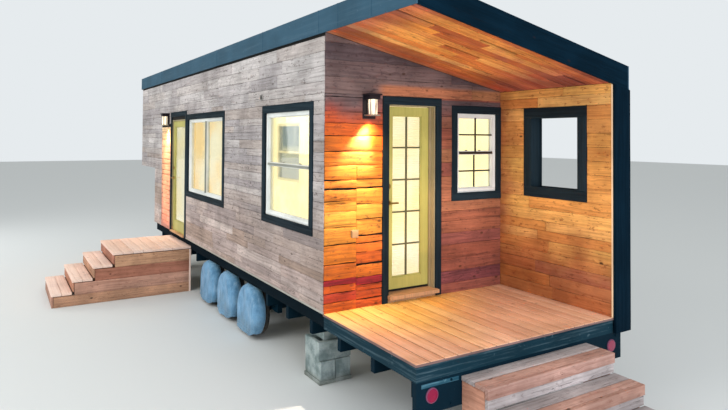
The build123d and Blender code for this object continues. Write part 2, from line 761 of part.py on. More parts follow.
with BuildPart() as porch_door_glass:
    block((porch_leaf_x[0] + stile, porch_leaf_x[1] - stile), middle(porch_leaf_y),
          (porch_door_z[0] + porch_bottom_rail, porch_door_z[1] - top_rail))
save(porch_door_glass.part, "porch_door_glass")

# Lever handles on both faces of each door, with a deadbolt above
side_lever = (side_leaf_y[1] - stile / 2, side_door_z[0] + lever_rise)
porch_lever = (porch_leaf_x[0] + stile / 2, porch_door_z[0] + lever_rise)


def handle_set(face, outward, reach):
    """Lever and deadbolt on one face of a door; the lever reaches along the door from its spindle."""
    plane = Plane(origin=face, x_dir=reach, z_dir=outward)
    bolt = plane.to_local_coords(Vector(face) + Vector(0, 0, deadbolt_above_lever))
    with BuildSketch(plane) as roses:
        Circle(rose_radius)
        with Locations(bolt):
            Circle(rose_radius)
    extrude(roses.sketch, amount=rose_thick)
    with BuildSketch(plane) as spindle:
        Circle(lever_radius)
    extrude(spindle.sketch, amount=lever_offset)
    with BuildSketch(plane.offset(lever_offset - lever_radius)) as lever:
        with Locations((lever_length / 2 - lever_radius, 0)):
            SlotOverall(lever_length, 2 * lever_radius)
    extrude(lever.sketch, amount=2 * lever_radius)


with BuildPart() as side_door_handle:
    handle_set((side_leaf_x[0], *side_lever), (-1, 0, 0), (0, -1, 0))
    handle_set((side_leaf_x[1], *side_lever), (1, 0, 0), (0, -1, 0))
save(side_door_handle.part, "side_door_handle")

with BuildPart() as porch_door_handle:
    handle_set((porch_lever[0], porch_leaf_y[0], porch_lever[1]), (0, -1, 0), (1, 0, 0))
    handle_set((porch_lever[0], porch_leaf_y[1], porch_lever[1]), (0, 1, 0), (1, 0, 0))
save(porch_door_handle.part, "porch_door_handle")

# Dark boards round the doors
with BuildPart() as door_trim:
    trim_ring((side_clear_y[0] - trim_reveal, side_clear_y[1] + trim_reveal),
              (z_deck, side_door_z[1] + door_gap + trim_reveal), (x_left - trim_thick, x_left), "x", sill=False)
    trim_ring((porch_clear_x[0] - trim_reveal, porch_clear_x[1] + trim_reveal),
              (z_deck, porch_door_z[1] + door_gap + trim_reveal), (y_front - trim_thick, y_front), "y", sill=False)
    block((porch_rough_x[0], porch_rough_x[1]), (y_front - trim_thick, y_front), porch_sill_z, mode=Mode.SUBTRACT)
save(door_trim.part, "door_trim")

# Wall lights: a back plate with a box lantern under a small hood
with BuildPart() as wall_lights:
    for place, turn in (((porch_clear_x[0] - porch_light_to_door, y_front, z_deck + porch_light_rise), (0, 0, 0)),
                        ((x_left, y_front + side_light_from, z_deck + side_light_rise), (0, 0, -90))):
        with Locations(Location(place, turn)):
            with Locations((0, -light_plate / 2, light_height / 2)):
                Box(light_width, light_plate, light_height)
            with Locations((0, -light_depth / 2, light_height - light_plate / 2)):
                Box(light_width, light_depth, light_plate)
            with Locations((0, -(light_depth + light_plate) / 2, (lantern_from + light_height - light_plate) / 2)):
                Box(lantern_width, light_depth - light_plate, light_height - light_plate - lantern_from)
save(wall_lights.part, "wall_lights")

with BuildPart() as wall_vent:
    with Locations(Location((x_left - vent_depth / 2, y_front + vent_from, z_deck + vent_rise), (0, 90, 0))):
        Cylinder(vent_radius, vent_depth)
    fillet(wall_vent.edges().filter_by(GeomType.CIRCLE).group_by(Axis.X)[0], vent_round)
save(wall_vent.part, "wall_vent")

with BuildPart() as porch_outlet:
    with Locations((x_left + outlet_from, y_front - outlet_depth / 2, z_deck + outlet_rise)):
        Box(outlet_size, outlet_depth, outlet_size)
    fillet(porch_outlet.edges().filter_by(Axis.Y), outlet_round)
save(porch_outlet.part, "porch_outlet")

# Side steps: a boarded box with a landing at the side door and treads going out
side_y = (y_front + side_steps_from, y_front + side_steps_from + side_steps_width)
side_landing_z = z_deck - side_landing_drop
side_levels = [side_landing_z - side_rise * i for i in range(side_treads + 1)]
side_edges = [x_left - side_landing - side_run * i for i in range(side_treads + 1)]
side_back = x_left + platform_inset


def side_outline(inset):
    """Stepped outline of the side steps under their treads, shrunk by inset, as (x, z) points."""
    points = [(side_back - inset, 0), (side_back - inset, side_levels[0] - step_board - inset)]
    for i, edge in enumerate(side_edges):
        below = side_levels[i + 1] - step_board - inset if i < side_treads else 0
        points.append((edge + inset, side_levels[i] - step_board - inset))
        points.append((edge + inset, below))
    return points


with BuildPart() as side_steps:
    prism_along_y(side_outline(0), *side_y)
    prism_along_y(side_outline(step_board), side_y[0] + step_board, side_y[1] - step_board, Mode.SUBTRACT)
save(side_steps.part, "side_steps")

with BuildPart() as side_treads_boards:
    for i, edge in enumerate(side_edges):
        back = side_back if i == 0 else side_edges[i - 1] - step_nosing
        block((edge - step_nosing, back),
              (side_y[0] - step_nosing, side_y[1] + step_nosing), (side_levels[i] - step_board, side_levels[i]))
save(side_treads_boards.part, "side_treads")

# Front steps: a wide boarded box against the bumper
front_x = (x_left + front_steps_from, x_left + front_steps_from + front_steps_width)
front_back = y_deck + deck_lip
front_levels = [z_deck - front_rise * (i + 1) for i in range(front_treads)]
front_edges = [y_deck - front_run * (i + 1) for i in range(front_treads)]


def front_outline(inset):
    """Stepped outline of the front steps under their treads, shrunk by inset, as (y, z) points."""
    points = [(front_back - inset, 0), (front_back - inset, front_levels[0] - step_board - inset)]
    for i, edge in enumerate(front_edges):
        below = front_levels[i + 1] - step_board - inset if i < front_treads - 1 else 0
        points.append((edge + inset, front_levels[i] - step_board - inset))
        points.append((edge + inset, below))
    return points


with BuildPart() as front_steps:
    prism_along_x(front_outline(0), *front_x)
    prism_along_x(front_outline(step_board), front_x[0] + step_board, front_x[1] - step_board, Mode.SUBTRACT)
save(front_steps.part, "front_steps")

with BuildPart() as front_treads_boards:
    for i, edge in enumerate(front_edges):
        back = front_back if i == 0 else front_edges[i - 1] - step_nosing
        block((front_x[0] - step_nosing, front_x[1] + step_nosing), (edge - step_nosing, back),
              (front_levels[i] - step_board, front_levels[i]))
save(front_treads_boards.part, "front_treads")
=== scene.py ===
from math import cos, pi, radians, sin
import bpy
import bmesh
import numpy as np
from mathutils import Matrix, Vector


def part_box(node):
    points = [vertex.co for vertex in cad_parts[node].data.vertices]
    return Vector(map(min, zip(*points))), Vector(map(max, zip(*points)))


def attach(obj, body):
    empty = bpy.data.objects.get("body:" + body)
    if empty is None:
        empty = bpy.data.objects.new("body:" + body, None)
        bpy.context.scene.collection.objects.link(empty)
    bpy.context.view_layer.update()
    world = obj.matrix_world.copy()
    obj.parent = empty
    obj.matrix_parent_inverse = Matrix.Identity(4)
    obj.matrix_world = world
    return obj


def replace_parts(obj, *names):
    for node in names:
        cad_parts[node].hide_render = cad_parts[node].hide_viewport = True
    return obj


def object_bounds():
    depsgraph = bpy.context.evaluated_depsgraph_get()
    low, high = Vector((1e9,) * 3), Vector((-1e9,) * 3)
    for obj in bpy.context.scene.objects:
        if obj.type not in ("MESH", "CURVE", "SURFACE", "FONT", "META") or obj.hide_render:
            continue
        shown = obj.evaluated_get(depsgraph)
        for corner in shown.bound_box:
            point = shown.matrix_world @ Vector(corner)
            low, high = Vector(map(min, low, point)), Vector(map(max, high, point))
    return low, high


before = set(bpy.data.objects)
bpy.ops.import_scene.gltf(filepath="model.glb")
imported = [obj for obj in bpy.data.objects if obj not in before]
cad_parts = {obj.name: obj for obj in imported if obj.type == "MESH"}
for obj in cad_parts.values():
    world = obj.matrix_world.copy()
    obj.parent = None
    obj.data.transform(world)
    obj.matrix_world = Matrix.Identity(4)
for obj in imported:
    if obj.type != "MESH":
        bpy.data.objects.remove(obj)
cad_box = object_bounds()

# Camera, light and floor
# The camera stands 2.6 m high, off the porch's left front corner, and looks along the window wall.
# A pale sky and four wide soft lamps light the house, over a plain pale floor.
yaw, pitch, roll = radians(31.5393), radians(1.1573), radians(.3532)
ahead = Vector((sin(yaw) * cos(pitch), cos(yaw) * cos(pitch), sin(pitch)))
right = Vector((cos(yaw), -sin(yaw), 0))
over = right.cross(ahead)
across = right * cos(roll) + over * sin(roll)
upward = over * cos(roll) - right * sin(roll)
camera = bpy.data.objects.new("camera", bpy.data.cameras.new("camera"))
camera.data.lens, camera.data.sensor_width, camera.data.shift_y = 29.477, 36, -.1097
camera.data.clip_end = 200
camera.matrix_world = (Matrix.Translation((-3.0731, -8.3380, 2.6199))
                       @ Matrix((across, upward, -ahead)).transposed().to_4x4())
bpy.context.collection.objects.link(camera)
bpy.context.scene.camera = camera
bpy.context.scene.view_settings.view_transform = "Standard"


def tint(code):
    """A colour written as rrggbb, as linear light. Other colours come back as they are."""
    if not isinstance(code, str):
        return code
    c = np.array([int(code[i:i + 2], 16) / 255 for i in (0, 2, 4)])
    return (*np.where(c < .04045, c / 12.92, ((c + .055) / 1.055) ** 2.4), 1.)


def feed(node, inputs):
    """Values, or links from other nodes, on a node's inputs."""
    for key, value in inputs.items():
        if isinstance(value, bpy.types.NodeSocket):
            node.id_data.links.new(value, node.inputs[key])
        else:
            node.inputs[key].default_value = value
    return node


def put(near, kind, inputs={}, **settings):
    """A new shader node. near is its tree, or a socket in that tree."""
    node = near.id_data.nodes.new("ShaderNode" + kind)
    for key, value in settings.items():
        setattr(node, key, value)
    return feed(node, inputs)


def lamp(name, kind, place, aim, power, colour="ffffff", **settings):
    """A lamp that faces a point."""
    light = bpy.data.lights.new(name, kind)
    light.energy, light.color = power, tint(colour)[:3]
    for key, value in settings.items():
        setattr(light, key, value)
    holder = bpy.data.objects.new(name, light)
    holder.location = place
    holder.rotation_euler = (Vector(aim) - Vector(place)).to_track_quat("-Z", "Y").to_euler()
    holder.visible_glossy = kind != "AREA"
    bpy.context.collection.objects.link(holder)
    return holder


def finish(name, rough=.5, metal=0., gloss=.5):
    """A new material, with its shader and the place of a surface point."""
    made = bpy.data.materials.new(name)
    made.use_nodes = True
    skin = made.node_tree.nodes["Principled BSDF"]
    feed(skin, {"Roughness": rough, "Metallic": metal, "Specular IOR Level": gloss})
    return made, skin, put(skin, "TexCoord").outputs["Object"]


lamp("window side lamp", "AREA", (-11, -1, 8), (0, 1, 1.8), 760, size=9)
lamp("far wall lamp", "AREA", (-7, 9, 4), (-.3, 4, 2.6), 190, size=4)
lamp("porch side lamp", "AREA", (0, -15, 7), (1, -4, 1.5), 560, size=9)
lamp("low porch lamp", "AREA", (-1.5, -12, 2.4), (1.2, -4, 2.2), 300, "e6efff", size=4)
sky = bpy.data.worlds.new("sky")
bpy.context.scene.world = sky
sky.use_nodes = True
air = sky.node_tree
air.nodes.clear()
rays = put(air, "LightPath").outputs
seen = put(air, "Math", {0: rays["Is Camera Ray"], 1: rays["Is Transmission Ray"]}, operation="ADD",
           use_clamp=True)
soft, pale, dim = (put(air, "Background", {"Color": tint(code), "Strength": power}).outputs[0]
                   for code, power in (("f0f3f6", .8), ("e6ebee", 1), ("c9d6cf", .45)))
both = put(air, "MixShader", {0: seen.outputs[0], 1: soft, 2: pale}).outputs[0]
both = put(air, "MixShader", {0: rays["Is Glossy Ray"], 1: both, 2: dim}).outputs[0]
put(air, "OutputWorld", {"Surface": both})

floor_mesh = bpy.data.meshes.new("studio floor")
floor_mesh.from_pydata([(-60, -60, 0), (60, -60, 0), (60, 60, 0), (-60, 60, 0)], [], [(0, 1, 2, 3)])
studio_floor = bpy.data.objects.new("studio_floor", floor_mesh)
bpy.context.collection.objects.link(studio_floor)
ground, skin, _ = finish("pale floor", .9)
feed(skin, {"Base Color": tint("d9dcda")})
floor_mesh.materials.append(ground)


# Trailer frame
# Welded steel: two main rails, cross members that run out past them, a gooseneck with its ball
# coupler, two landing legs, a porch rim and a deep bumper plate. Blue-black paint, dusty below.
def calc(task, a, b=0., c=0.):
    """A number worked out from others, of which the first is a socket."""
    return put(a, "Math", {0: a, 1: b, 2: c}, operation=task).outputs[0]


def times(a, b):
    """The product of a socket and another number."""
    return calc("MULTIPLY", a, b)


def spread(value, low, high, to_low=0., to_high=1.):
    """A number moved from one range to another, and held inside it."""
    return put(value, "MapRange", {"Value": value, "From Min": low, "From Max": high, "To Min": to_low,
                                   "To Max": to_high}, interpolation_type="SMOOTHSTEP").outputs[0]


def mixed(share, a, b):
    """Two colours mixed by a socket's number."""
    return put(share, "Mix", {0: share, 6: tint(a), 7: tint(b)}, data_type="RGBA").outputs[2]


def shaded(colour, light):
    """A colour made lighter or darker by a socket's number."""
    grey = put(light, "CombineColor", {0: light, 1: light, 2: light}).outputs[0]
    return put(light, "Mix", {0: 1., 6: tint(colour), 7: grey}, data_type="RGBA",
               blend_type="MULTIPLY").outputs[2]


def noise(place, scale, detail=4., rough=.55):
    """Smooth random values round 0.5."""
    return put(place, "TexNoise", {"Vector": place, "Scale": scale, "Detail": detail,
                                   "Roughness": rough}).outputs[0]


def stretch(place, x, y, z):
    """A place scaled differently each way."""
    return put(place, "VectorMath", {0: place, 1: (x, y, z)}, operation="MULTIPLY").outputs[0]


def xyz(place):
    """A place's three numbers."""
    return put(place, "SeparateXYZ", {0: place}).outputs


def bump(skin, height, distance, strength):
    """Relief on a shader."""
    relief = put(skin, "Bump", {"Height": height, "Distance": distance, "Strength": strength})
    feed(skin, {"Normal": relief.outputs[0]})


def group(name, inputs, outputs):
    """An empty shader node group that works out numbers, with its inner inputs and its end."""
    tree = bpy.data.node_groups.new(name, "ShaderNodeTree")
    for way, sockets in (("INPUT", inputs), ("OUTPUT", {label: "Float" for label in outputs})):
        for label, kind in sockets.items():
            tree.interface.new_socket(name=label, in_out=way, socket_type="NodeSocket" + kind)
    return tree, tree.nodes.new("NodeGroupInput").outputs, tree.nodes.new("NodeGroupOutput")


dust_group, into, end = group("dust and wear", {"Place": "Vector", "Reach": "Float"},
                              ("Dust", "Wear", "Grit"))
drift = calc("ADD", xyz(into["Place"])["Z"], noise(into["Place"], 3., 5.))
near_ground = spread(calc("DIVIDE", calc("SUBTRACT", drift, .5), into["Reach"]), 0., 1., 1., 0.)
grit = noise(into["Place"], 90., 4., .7)
feed(end, {"Dust": times(near_ground, spread(grit, .3, .6)),
           "Wear": spread(noise(into["Place"], 14., 6., .7), .62, .7), "Grit": grit})


def dusted(place, reach):
    """Dust that reaches so high over the ground, worn specks and grit."""
    return put(place, "Group", {"Place": place, "Reach": reach}, node_tree=dust_group).outputs


def painted(name, coat, worn, rough=.45, metal=0., reach=.3, dirt="8d8274", relief=.0004, wear=.6, gloss=.5,
            scuff=0.):
    """Paint or bare metal with worn specks, long scuffs and dust that thins out upwards."""
    made, skin, place = finish(name, rough, metal, gloss)
    marks = dusted(place, reach)
    colour = shaded(coat, spread(noise(place, 2.2, 3.), .3, .7, .86, 1.1))
    colour = mixed(times(marks["Wear"], wear), colour, worn)
    if scuff:
        rub = spread(noise(stretch(place, 1.3, 1.3, 38.), 1., 5., .7), .48, .72)
        colour = mixed(times(rub, scuff), colour, worn)
    colour = mixed(times(marks["Dust"], .6), colour, dirt)
    feed(skin, {"Base Color": colour, "Roughness": calc("MULTIPLY_ADD", marks["Grit"], .25, rough - .12)})
    bump(skin, marks["Grit"], relief, .5)
    return made


def dress(material, *nodes):
    """Give CAD nodes a material on all their slots."""
    for node in nodes:
        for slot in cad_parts[node].material_slots:
            slot.material = material


steel = painted("blue-black steel paint", "08202c", "22363f", .65, 0., .35, "3f4644", gloss=.06)
rim_steel = painted("scuffed rim paint", "12303c", "6b838c", .65, dirt="4b4f4c", gloss=.1, scuff=.45)
dress(rim_steel, "porch_rim")
dress(steel, "trailer_rails", "cross_members", "gooseneck", "landing_legs", "axles", "leaf_springs", "bumper")


def piece(name, points, faces, material, slot, body="root", crease=35., marks={}):
    """A mesh piece of the house: merged, turned outwards, given its material and its body."""
    mesh = bpy.data.meshes.new(name)
    mesh.from_pydata(points.reshape(-1, 3), [], faces if isinstance(faces, list) else faces.tolist())
    for label, values in marks.items():
        kind, field = ("FLOAT", "value") if values.ndim == 1 else ("FLOAT_VECTOR", "vector")
        mesh.attributes.new(label, kind, "POINT").data.foreach_set(field, values.astype(np.float32).ravel())
    shell = bmesh.new()
    shell.from_mesh(mesh)
    bmesh.ops.remove_doubles(shell, verts=shell.verts, dist=1e-6)
    bmesh.ops.recalc_face_normals(shell, faces=shell.faces)
    shell.to_mesh(mesh)
    shell.free()
    mesh.shade_smooth()
    mesh.set_sharp_from_angle(angle=radians(crease))
    made = bpy.data.objects.new(name, mesh)
    bpy.context.collection.objects.link(made)
    mesh.materials.append(material)
    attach(made, body)
    return made


def rods(name, rings, material, slot, body="root", loop=False, crease=35., marks={}):
    """Closed profiles carried along paths. rings[piece, station, point] holds each station's profile;
    the ends are capped, or with loop the last station joins the first."""
    n, s, p = rings.shape[:3]
    step = np.arange(s if loop else s - 1)
    this = (np.arange(n)[:, None, None] * s + step[:, None]) * p
    after = (np.arange(n)[:, None, None] * s + (step[:, None] + 1) % s) * p
    i, j = np.arange(p), (np.arange(p) + 1) % p
    faces = np.stack([this + i, this + j, after + j, after + i], -1).reshape(-1, 4).tolist()
    if not loop:
        first = np.arange(n)[:, None] * s * p + i
        faces += first[:, ::-1].tolist() + (first + (s - 1) * p).tolist()
    return piece(name, rings, faces, material, slot, body, crease, marks)


def turned(centres, axis, outline, count=32):
    """Rings for turned solids: a closed outline of (radius, height) points, revolved about an axis through
    each centre. axis is 0, 1 or 2, or its negative -1, -2 or -3 for heights measured the other way."""
    outline = np.array(outline, float)
    k = axis if axis >= 0 else -axis - 1
    angle = np.arange(count) * 2 * pi / count
    centres = np.array(centres, float).reshape(-1, 3)
    rings = np.zeros((len(centres), count, len(outline), 3))
    rings[..., (k + 1) % 3] = outline[:, 0] * np.cos(angle)[:, None]
    rings[..., (k + 2) % 3] = outline[:, 0] * np.sin(angle)[:, None]
    rings[..., k] = outline[:, 1] * (1 if axis >= 0 else -1)
    return rings + centres[:, None, None, :]


def boards(name, boxes, material, slot, body="root", along=None, out=None, side=1., soft=.002, wave=0.,
           steps=0, seed=1, shape=None, tones=None):
    """Many sawn boards as one mesh: a rounded rectangle of 14 points carried along the longest side of each
    (low, high) box. Across, a point is edge0(u) + v * (width + edge1(u) - edge0(u)), and the edges wander by
    a sum of three sines. The ends draw in by the corner radius. side is +1 or -1 for the way that the worn
    face looks, and tones may choose each board's colour from 0 to 1."""
    low, high = np.array(boxes, float).reshape(-1, 2, 3).swapaxes(0, 1)
    size, n, rng = high - low, len(low), np.random.default_rng(seed)
    lean = np.array([0, 1e-9, 2e-9])
    t = (size + lean).argmin(1) if out is None else np.full(n, out)
    k = (size + lean).argmax(1) if along is None else np.full(n, along)
    w = 3 - k - t
    pick = np.arange(n)
    length, width, thick = size[pick, k], size[pick, w], size[pick, t]
    r = np.minimum(soft, .35 * np.minimum(width, thick))[:, None, None]
    inner = np.linspace(0, 1, steps + 2)[None, :] * (length[:, None] - 2 * r[:, :, 0]) + r[:, :, 0]
    u = np.concatenate([np.zeros((n, 1)), inner, length[:, None]], 1)[..., None]
    draw = np.zeros(u.shape[1])
    draw[[0, -1]] = 1
    draw = draw[None, :, None] * r
    v = np.array([0, 0, 0, 1, 1, 1, 1, 1, 1, .67, .33, 0, 0, 0])
    dv = np.array([0, .29, 1, -1, -.29, 0, 0, -.29, -1, 0, 0, 1, .29, 0])
    q = np.array([0, 0, 0, 0, 0, 0, 1, 1, 1, 1, 1, 1, 1, 1])
    dq = np.array([1, .29, 0, 0, .29, 1, -1, -.29, 0, 0, 0, 0, -.29, -1])

    def wander():
        turns = 2 * pi / np.array([1.3, .47, .17]) * rng.uniform(.7, 1.4, (n, 1, 3))
        return (np.sin(u * turns + rng.uniform(0, 6.3, (n, 1, 3))) * [.5, .35, .25]).sum(-1)[..., None] * wave

    edge0, edge1, face = wander(), wander(), wander() * .5
    a = edge0 + v * (width[:, None, None] + edge1 - edge0) + dv * r + draw * (1 - 2 * v)
    o = q * (thick[:, None, None] + face) + dq * r + draw * (1 - 2 * q)
    eye, side = np.eye(3), np.broadcast_to(np.asarray(side, float), (n,))[:, None, None]
    o = np.where(side > 0, o, thick[:, None, None] - o)
    spots = (low[:, None, None] + eye[k][:, None, None] * (u + 0 * a)[..., None]
             + eye[w][:, None, None] * a[..., None] + eye[t][:, None, None] * o[..., None])
    if shape:
        spots = shape(spots)
    spots = np.clip(spots, *cad_box)
    shift = rng.uniform(0, 40, (n, 1, 1, 3))
    grain = np.stack([u + 0 * a, a + o, 0 * a], -1) + shift
    tone = rng.uniform(0, 1, n) if tones is None else np.asarray(tones, float)
    tone = np.broadcast_to(tone[:, None, None], a.shape)
    return rods(name, spots, material, slot, body, crease=30.,
                marks={"grain": grain.reshape(-1, 3), "tone": tone.ravel()})


# U-bolts clamp each axle to its springs, and hex bolts hold the bumper plate to the rim
wheel_low, wheel_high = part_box("wheels")
tyre_radius, half_tyre = .325, .1025
wheel_ys = [wheel_low.y + tyre_radius, (wheel_low.y + wheel_high.y) / 2, wheel_high.y - tyre_radius]
spring_low, spring_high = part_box("leaf_springs")
arc = np.linspace(0, pi, 9)
bow = np.stack([.046 * np.cos(arc), .012 * np.sin(arc) + .082], 1)
bend = np.concatenate([[[.046, -.02]], bow, [[-.046, -.02]]])
hoop = .005 * np.stack([np.cos(np.arange(8) * pi / 4), np.sin(np.arange(8) * pi / 4)])
u_bolts = []
for x in (spring_low.x + .03, spring_high.x - .03):
    for y in wheel_ys:
        for dx in (-.024, .024):
            ring = np.zeros((len(bend), 8, 3))
            ring[..., 0] = x + dx + hoop[0]
            ring[..., 1] = y + bend[:, :1] * (1 + hoop[1] / .046)
            ring[..., 2] = spring_low.z - .036 + bend[:, 1:] + hoop[1] * (np.abs(bend[:, :1]) < .04)
            u_bolts.append(ring)
bare_steel = painted("bare steel", "6d6f70", "8a6a4e", .42, .8, .6)
rods("axle_u_bolts", np.array(u_bolts), bare_steel, "steel_frame")
bumper_low, bumper_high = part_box("bumper")
hex_outline = [(0, 0), (.0115, 0), (.0115, .007), (.009, .009), (0, .009)]
bolts = [(x, bumper_low.y, z) for x in np.linspace(bumper_low.x + .35, bumper_high.x - .08, 6)
         for z in (bumper_high.z - .035, bumper_low.z + .035) if not .15 < x < 1.75]
rods("bumper_bolts", turned(bolts, -2, hex_outline, 6), steel, "steel_frame", loop=True, crease=20.)

# Wheels and tyres
# Six trailer wheels: black rubber tyres with sipes across four tread ribs, on dished steel rims held
# by six nuts round a hub cap. Only the foot of each tyre shows below its cover.
wheel_xs = (wheel_low.x + half_tyre, wheel_high.x - half_tyre)
tread = np.stack([np.full(33, tyre_radius), np.linspace(-.072, .072, 33)], 1)
tread[[6, 7, 15, 16, 17, 25, 26], 0] -= .009
shoulder = np.linspace(0, pi / 2, 7)[1:]
crown = np.stack([tyre_radius - .03 + .03 * np.cos(shoulder), .0725 + .03 * np.sin(shoulder)], 1)
flank = np.array([(.27, .1025), (.24, .101), (.215, .096), (.197, .088), (.19, .08), (.18, .078)])
tyre_side = np.concatenate([crown, flank])
outline = np.concatenate([tread, tyre_side, np.flipud(tyre_side) * [1, -1]])
centres = np.array([(x, y, tyre_radius) for x in wheel_xs for y in wheel_ys])
tyre_rings = turned(centres, 0, outline, 120)
sipe = (np.arange(120) % 4 == 0)[None, :, None] & (outline[:, 0] > .3)
spokes = (tyre_rings - centres[:, None, None, :]) * [0, 1, 1]
tyre_rings = tyre_rings - spokes / tyre_radius * np.where(sipe, .005, 0.)[..., None]
rubber = painted("tyre rubber", "1c1c1d", "3a3936", .82, 0., .45, "8a7f70", .0008)
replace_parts(rods("tyres", tyre_rings, rubber, "tyre", loop=True, crease=28.), "wheels")
rim_paint = painted("silver rim paint", "a6a9ab", "6d6a64", .38, .5, .5)
rim_outline = [(.182, .078), (.186, .085), (.18, .086), (.172, .07), (.165, .052), (.12, .05), (.1, .058),
               (.075, .06), (.06, .058), (.052, .064), (.048, .088), (.034, .095), (0, .096), (0, .04),
               (.16, .04), (.172, -.06), (.182, -.07)]
nut_outline = [(0, 0), (.011, 0), (.011, .014), (.008, .018), (0, .018)]
nut_circle, nut_seat = .083, .058
for label, x, axis, reach in (("left", wheel_xs[0], -1, -nut_seat), ("right", wheel_xs[1], 0, nut_seat)):
    hubs = [(x, y, tyre_radius) for y in wheel_ys]
    rods(label + "_rims", turned(hubs, axis, rim_outline, 48), rim_paint, "steel_frame", loop=True)
    nuts = [(x + reach, y + nut_circle * cos(a), tyre_radius + nut_circle * sin(a)) for y in wheel_ys
            for a in np.arange(6) * pi / 3]
    rods(label + "_wheel_nuts", turned(nuts, axis, nut_outline, 6), bare_steel, "steel_frame", loop=True,
         crease=20.)

# Wheel covers
# Faded blue coated canvas, one cover over each wheel: a round-topped face sewn to a gusset that goes
# back over the tread, with an elastic hem that puckers and curves in under the tyre.
cover_cloth, skin, place = finish("blue cover canvas", .62)
flat = put(place, "UVMap", uv_map="cloth").outputs[0]
thread = xyz(put(place, "VectorMath", {0: flat, 3: 2400.}, operation="SCALE").outputs[0])
weave = calc("MAXIMUM", *(calc("ABSOLUTE", calc("SINE", thread[way])) for way in "XY"))
# Lighter and darker upright streaks in the canvas's colour.
upright_streaks = noise(stretch(place, 26., 26., 5.), 1., 5., .7)
colour = mixed(spread(noise(flat, 5., 5., .6), .35, .68), "76a6c9", "4f82a5")
colour = mixed(spread(upright_streaks, .5, .72, 0., .55), colour, "b9d0de")
colour = mixed(spread(upright_streaks, .47, .32, 0., .5), colour, "3f6b8c")
colour = mixed(times(weave, .15), colour, "4f82a5")
colour = mixed(times(dusted(place, .32)["Dust"], .55), colour, "5f6f72")
feed(skin, {"Base Color": colour, "Sheen Weight": .15})
bump(skin, calc("ADD", times(weave, .04), noise(stretch(place, 24., 24., 9.), 1., 4., .6)), .014, .6)
cover_radius, cover_reach, hem_height = .3335, .214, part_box("wheel_covers")[0].z + .002


def grid_faces(rows, columns, start=0):
    """Quads between the points of a grid that are numbered row by row."""
    i = (np.arange(rows - 1)[:, None] * columns + np.arange(columns - 1)).ravel() + start
    return np.stack([i, i + 1, i + columns + 1, i + columns], -1)


def cover(x, y, outward, seed):
    """One wheel cover from two grids. The face is (a, b): a runs from -1 to 1 across and b up, its half width
    is R below the wheel's middle, drawn in towards the foot, and sqrt(R^2 - h^2) above it. The face bulges as
    1 - exp(-e / .12) and rolls back as (1 - e / .1)^2, where e is the distance from its edge over R, and its
    lower corners rise as ((|a| - .3) / .7)^2. The gusset follows that edge, swells as sin(pi b) and goes back
    over the tyre. Folds are sines of a that grow towards the hem, and two tucks run round above it."""
    rng = np.random.default_rng(seed)
    rise = np.concatenate([np.linspace(hem_height, tyre_radius, 31)[:-1],
                           tyre_radius + cover_radius * np.sin(np.linspace(0, pi / 2, 25))])
    a, b = np.linspace(-1, 1, 81), rise[:, None]
    chord = np.sqrt(np.maximum(cover_radius ** 2 - (rise - tyre_radius).clip(0) ** 2, 0))
    half_width = np.where(rise < tyre_radius, cover_radius, chord)
    foot = ((tyre_radius - b) / (tyre_radius - hem_height)).clip(0, 1)
    across_face = a * half_width[:, None] * (1 - .08 * foot ** 2)
    corner = ((np.abs(a) - .3) / .7).clip(0)
    up_face = b + (.05 * corner ** 2 + .004 * np.sin(a * 5 + seed)) * foot ** 3
    gathers = 1.2 + np.sin(a * 41 + rng.uniform(0, 6)) + .7 * np.sin(a * 19 + rng.uniform(0, 6))
    folds = 2 + np.sin(a * 8 + b * 4 + rng.uniform(0, 6)) + np.sin(a * 4.3 - b * 5 + rng.uniform(0, 6))
    edge = np.clip(1 - np.hypot(across_face, (up_face - tyre_radius).clip(0)) / cover_radius, 0, 1)
    tucks = np.exp(-((up_face - .085) / .009) ** 2) + np.exp(-((up_face - .125) / .01) ** 2)
    proud = (.02 * (1 - np.exp(-edge / .12)) - .03 * (1 - edge / .1).clip(0) ** 2
             + gathers * foot ** 3 * .0035 + folds * (edge / .25).clip(0, 1) * .0045
             - tucks * .006 * (edge / .1).clip(0, 1))
    face = np.stack([x + outward * (cover_reach - half_tyre + proud - .005), y + across_face, up_face], -1)
    rim = np.concatenate([face[:, 0], face[-2::-1, -1]])
    back = np.linspace(0, 1, 13)[:, None]
    lap = np.arange(len(rim))
    swell = (.012 + .004 * np.sin(lap * 1.3 + seed) + .004 * np.sin(lap * .45 + seed)) * np.sin(back * pi)
    inward = np.array([0, y, tyre_radius]) - rim
    inward[:, 0] = 0
    inward[:, 2] = np.where(rim[:, 2] > tyre_radius, inward[:, 2], 0)
    inward /= np.maximum(np.linalg.norm(inward, axis=1), 1e-6)[:, None]
    gusset = rim + inward * (.006 * back ** 3 - swell)[..., None]
    gusset[..., 0] = rim[:, 0] - outward * back * (cover_reach - .104)
    low_down = np.clip((tyre_radius - rim[:, 2]) / tyre_radius, 0, 1)
    gusset[..., 2] += (.01 * back - .012 * np.sin(back * pi)) * low_down ** 2
    m, n = face.shape[:2]
    points = np.concatenate([face.reshape(-1, 3), gusset.reshape(-1, 3)])
    return points, np.concatenate([grid_faces(m, n), grid_faces(*gusset.shape[:2], m * n)])


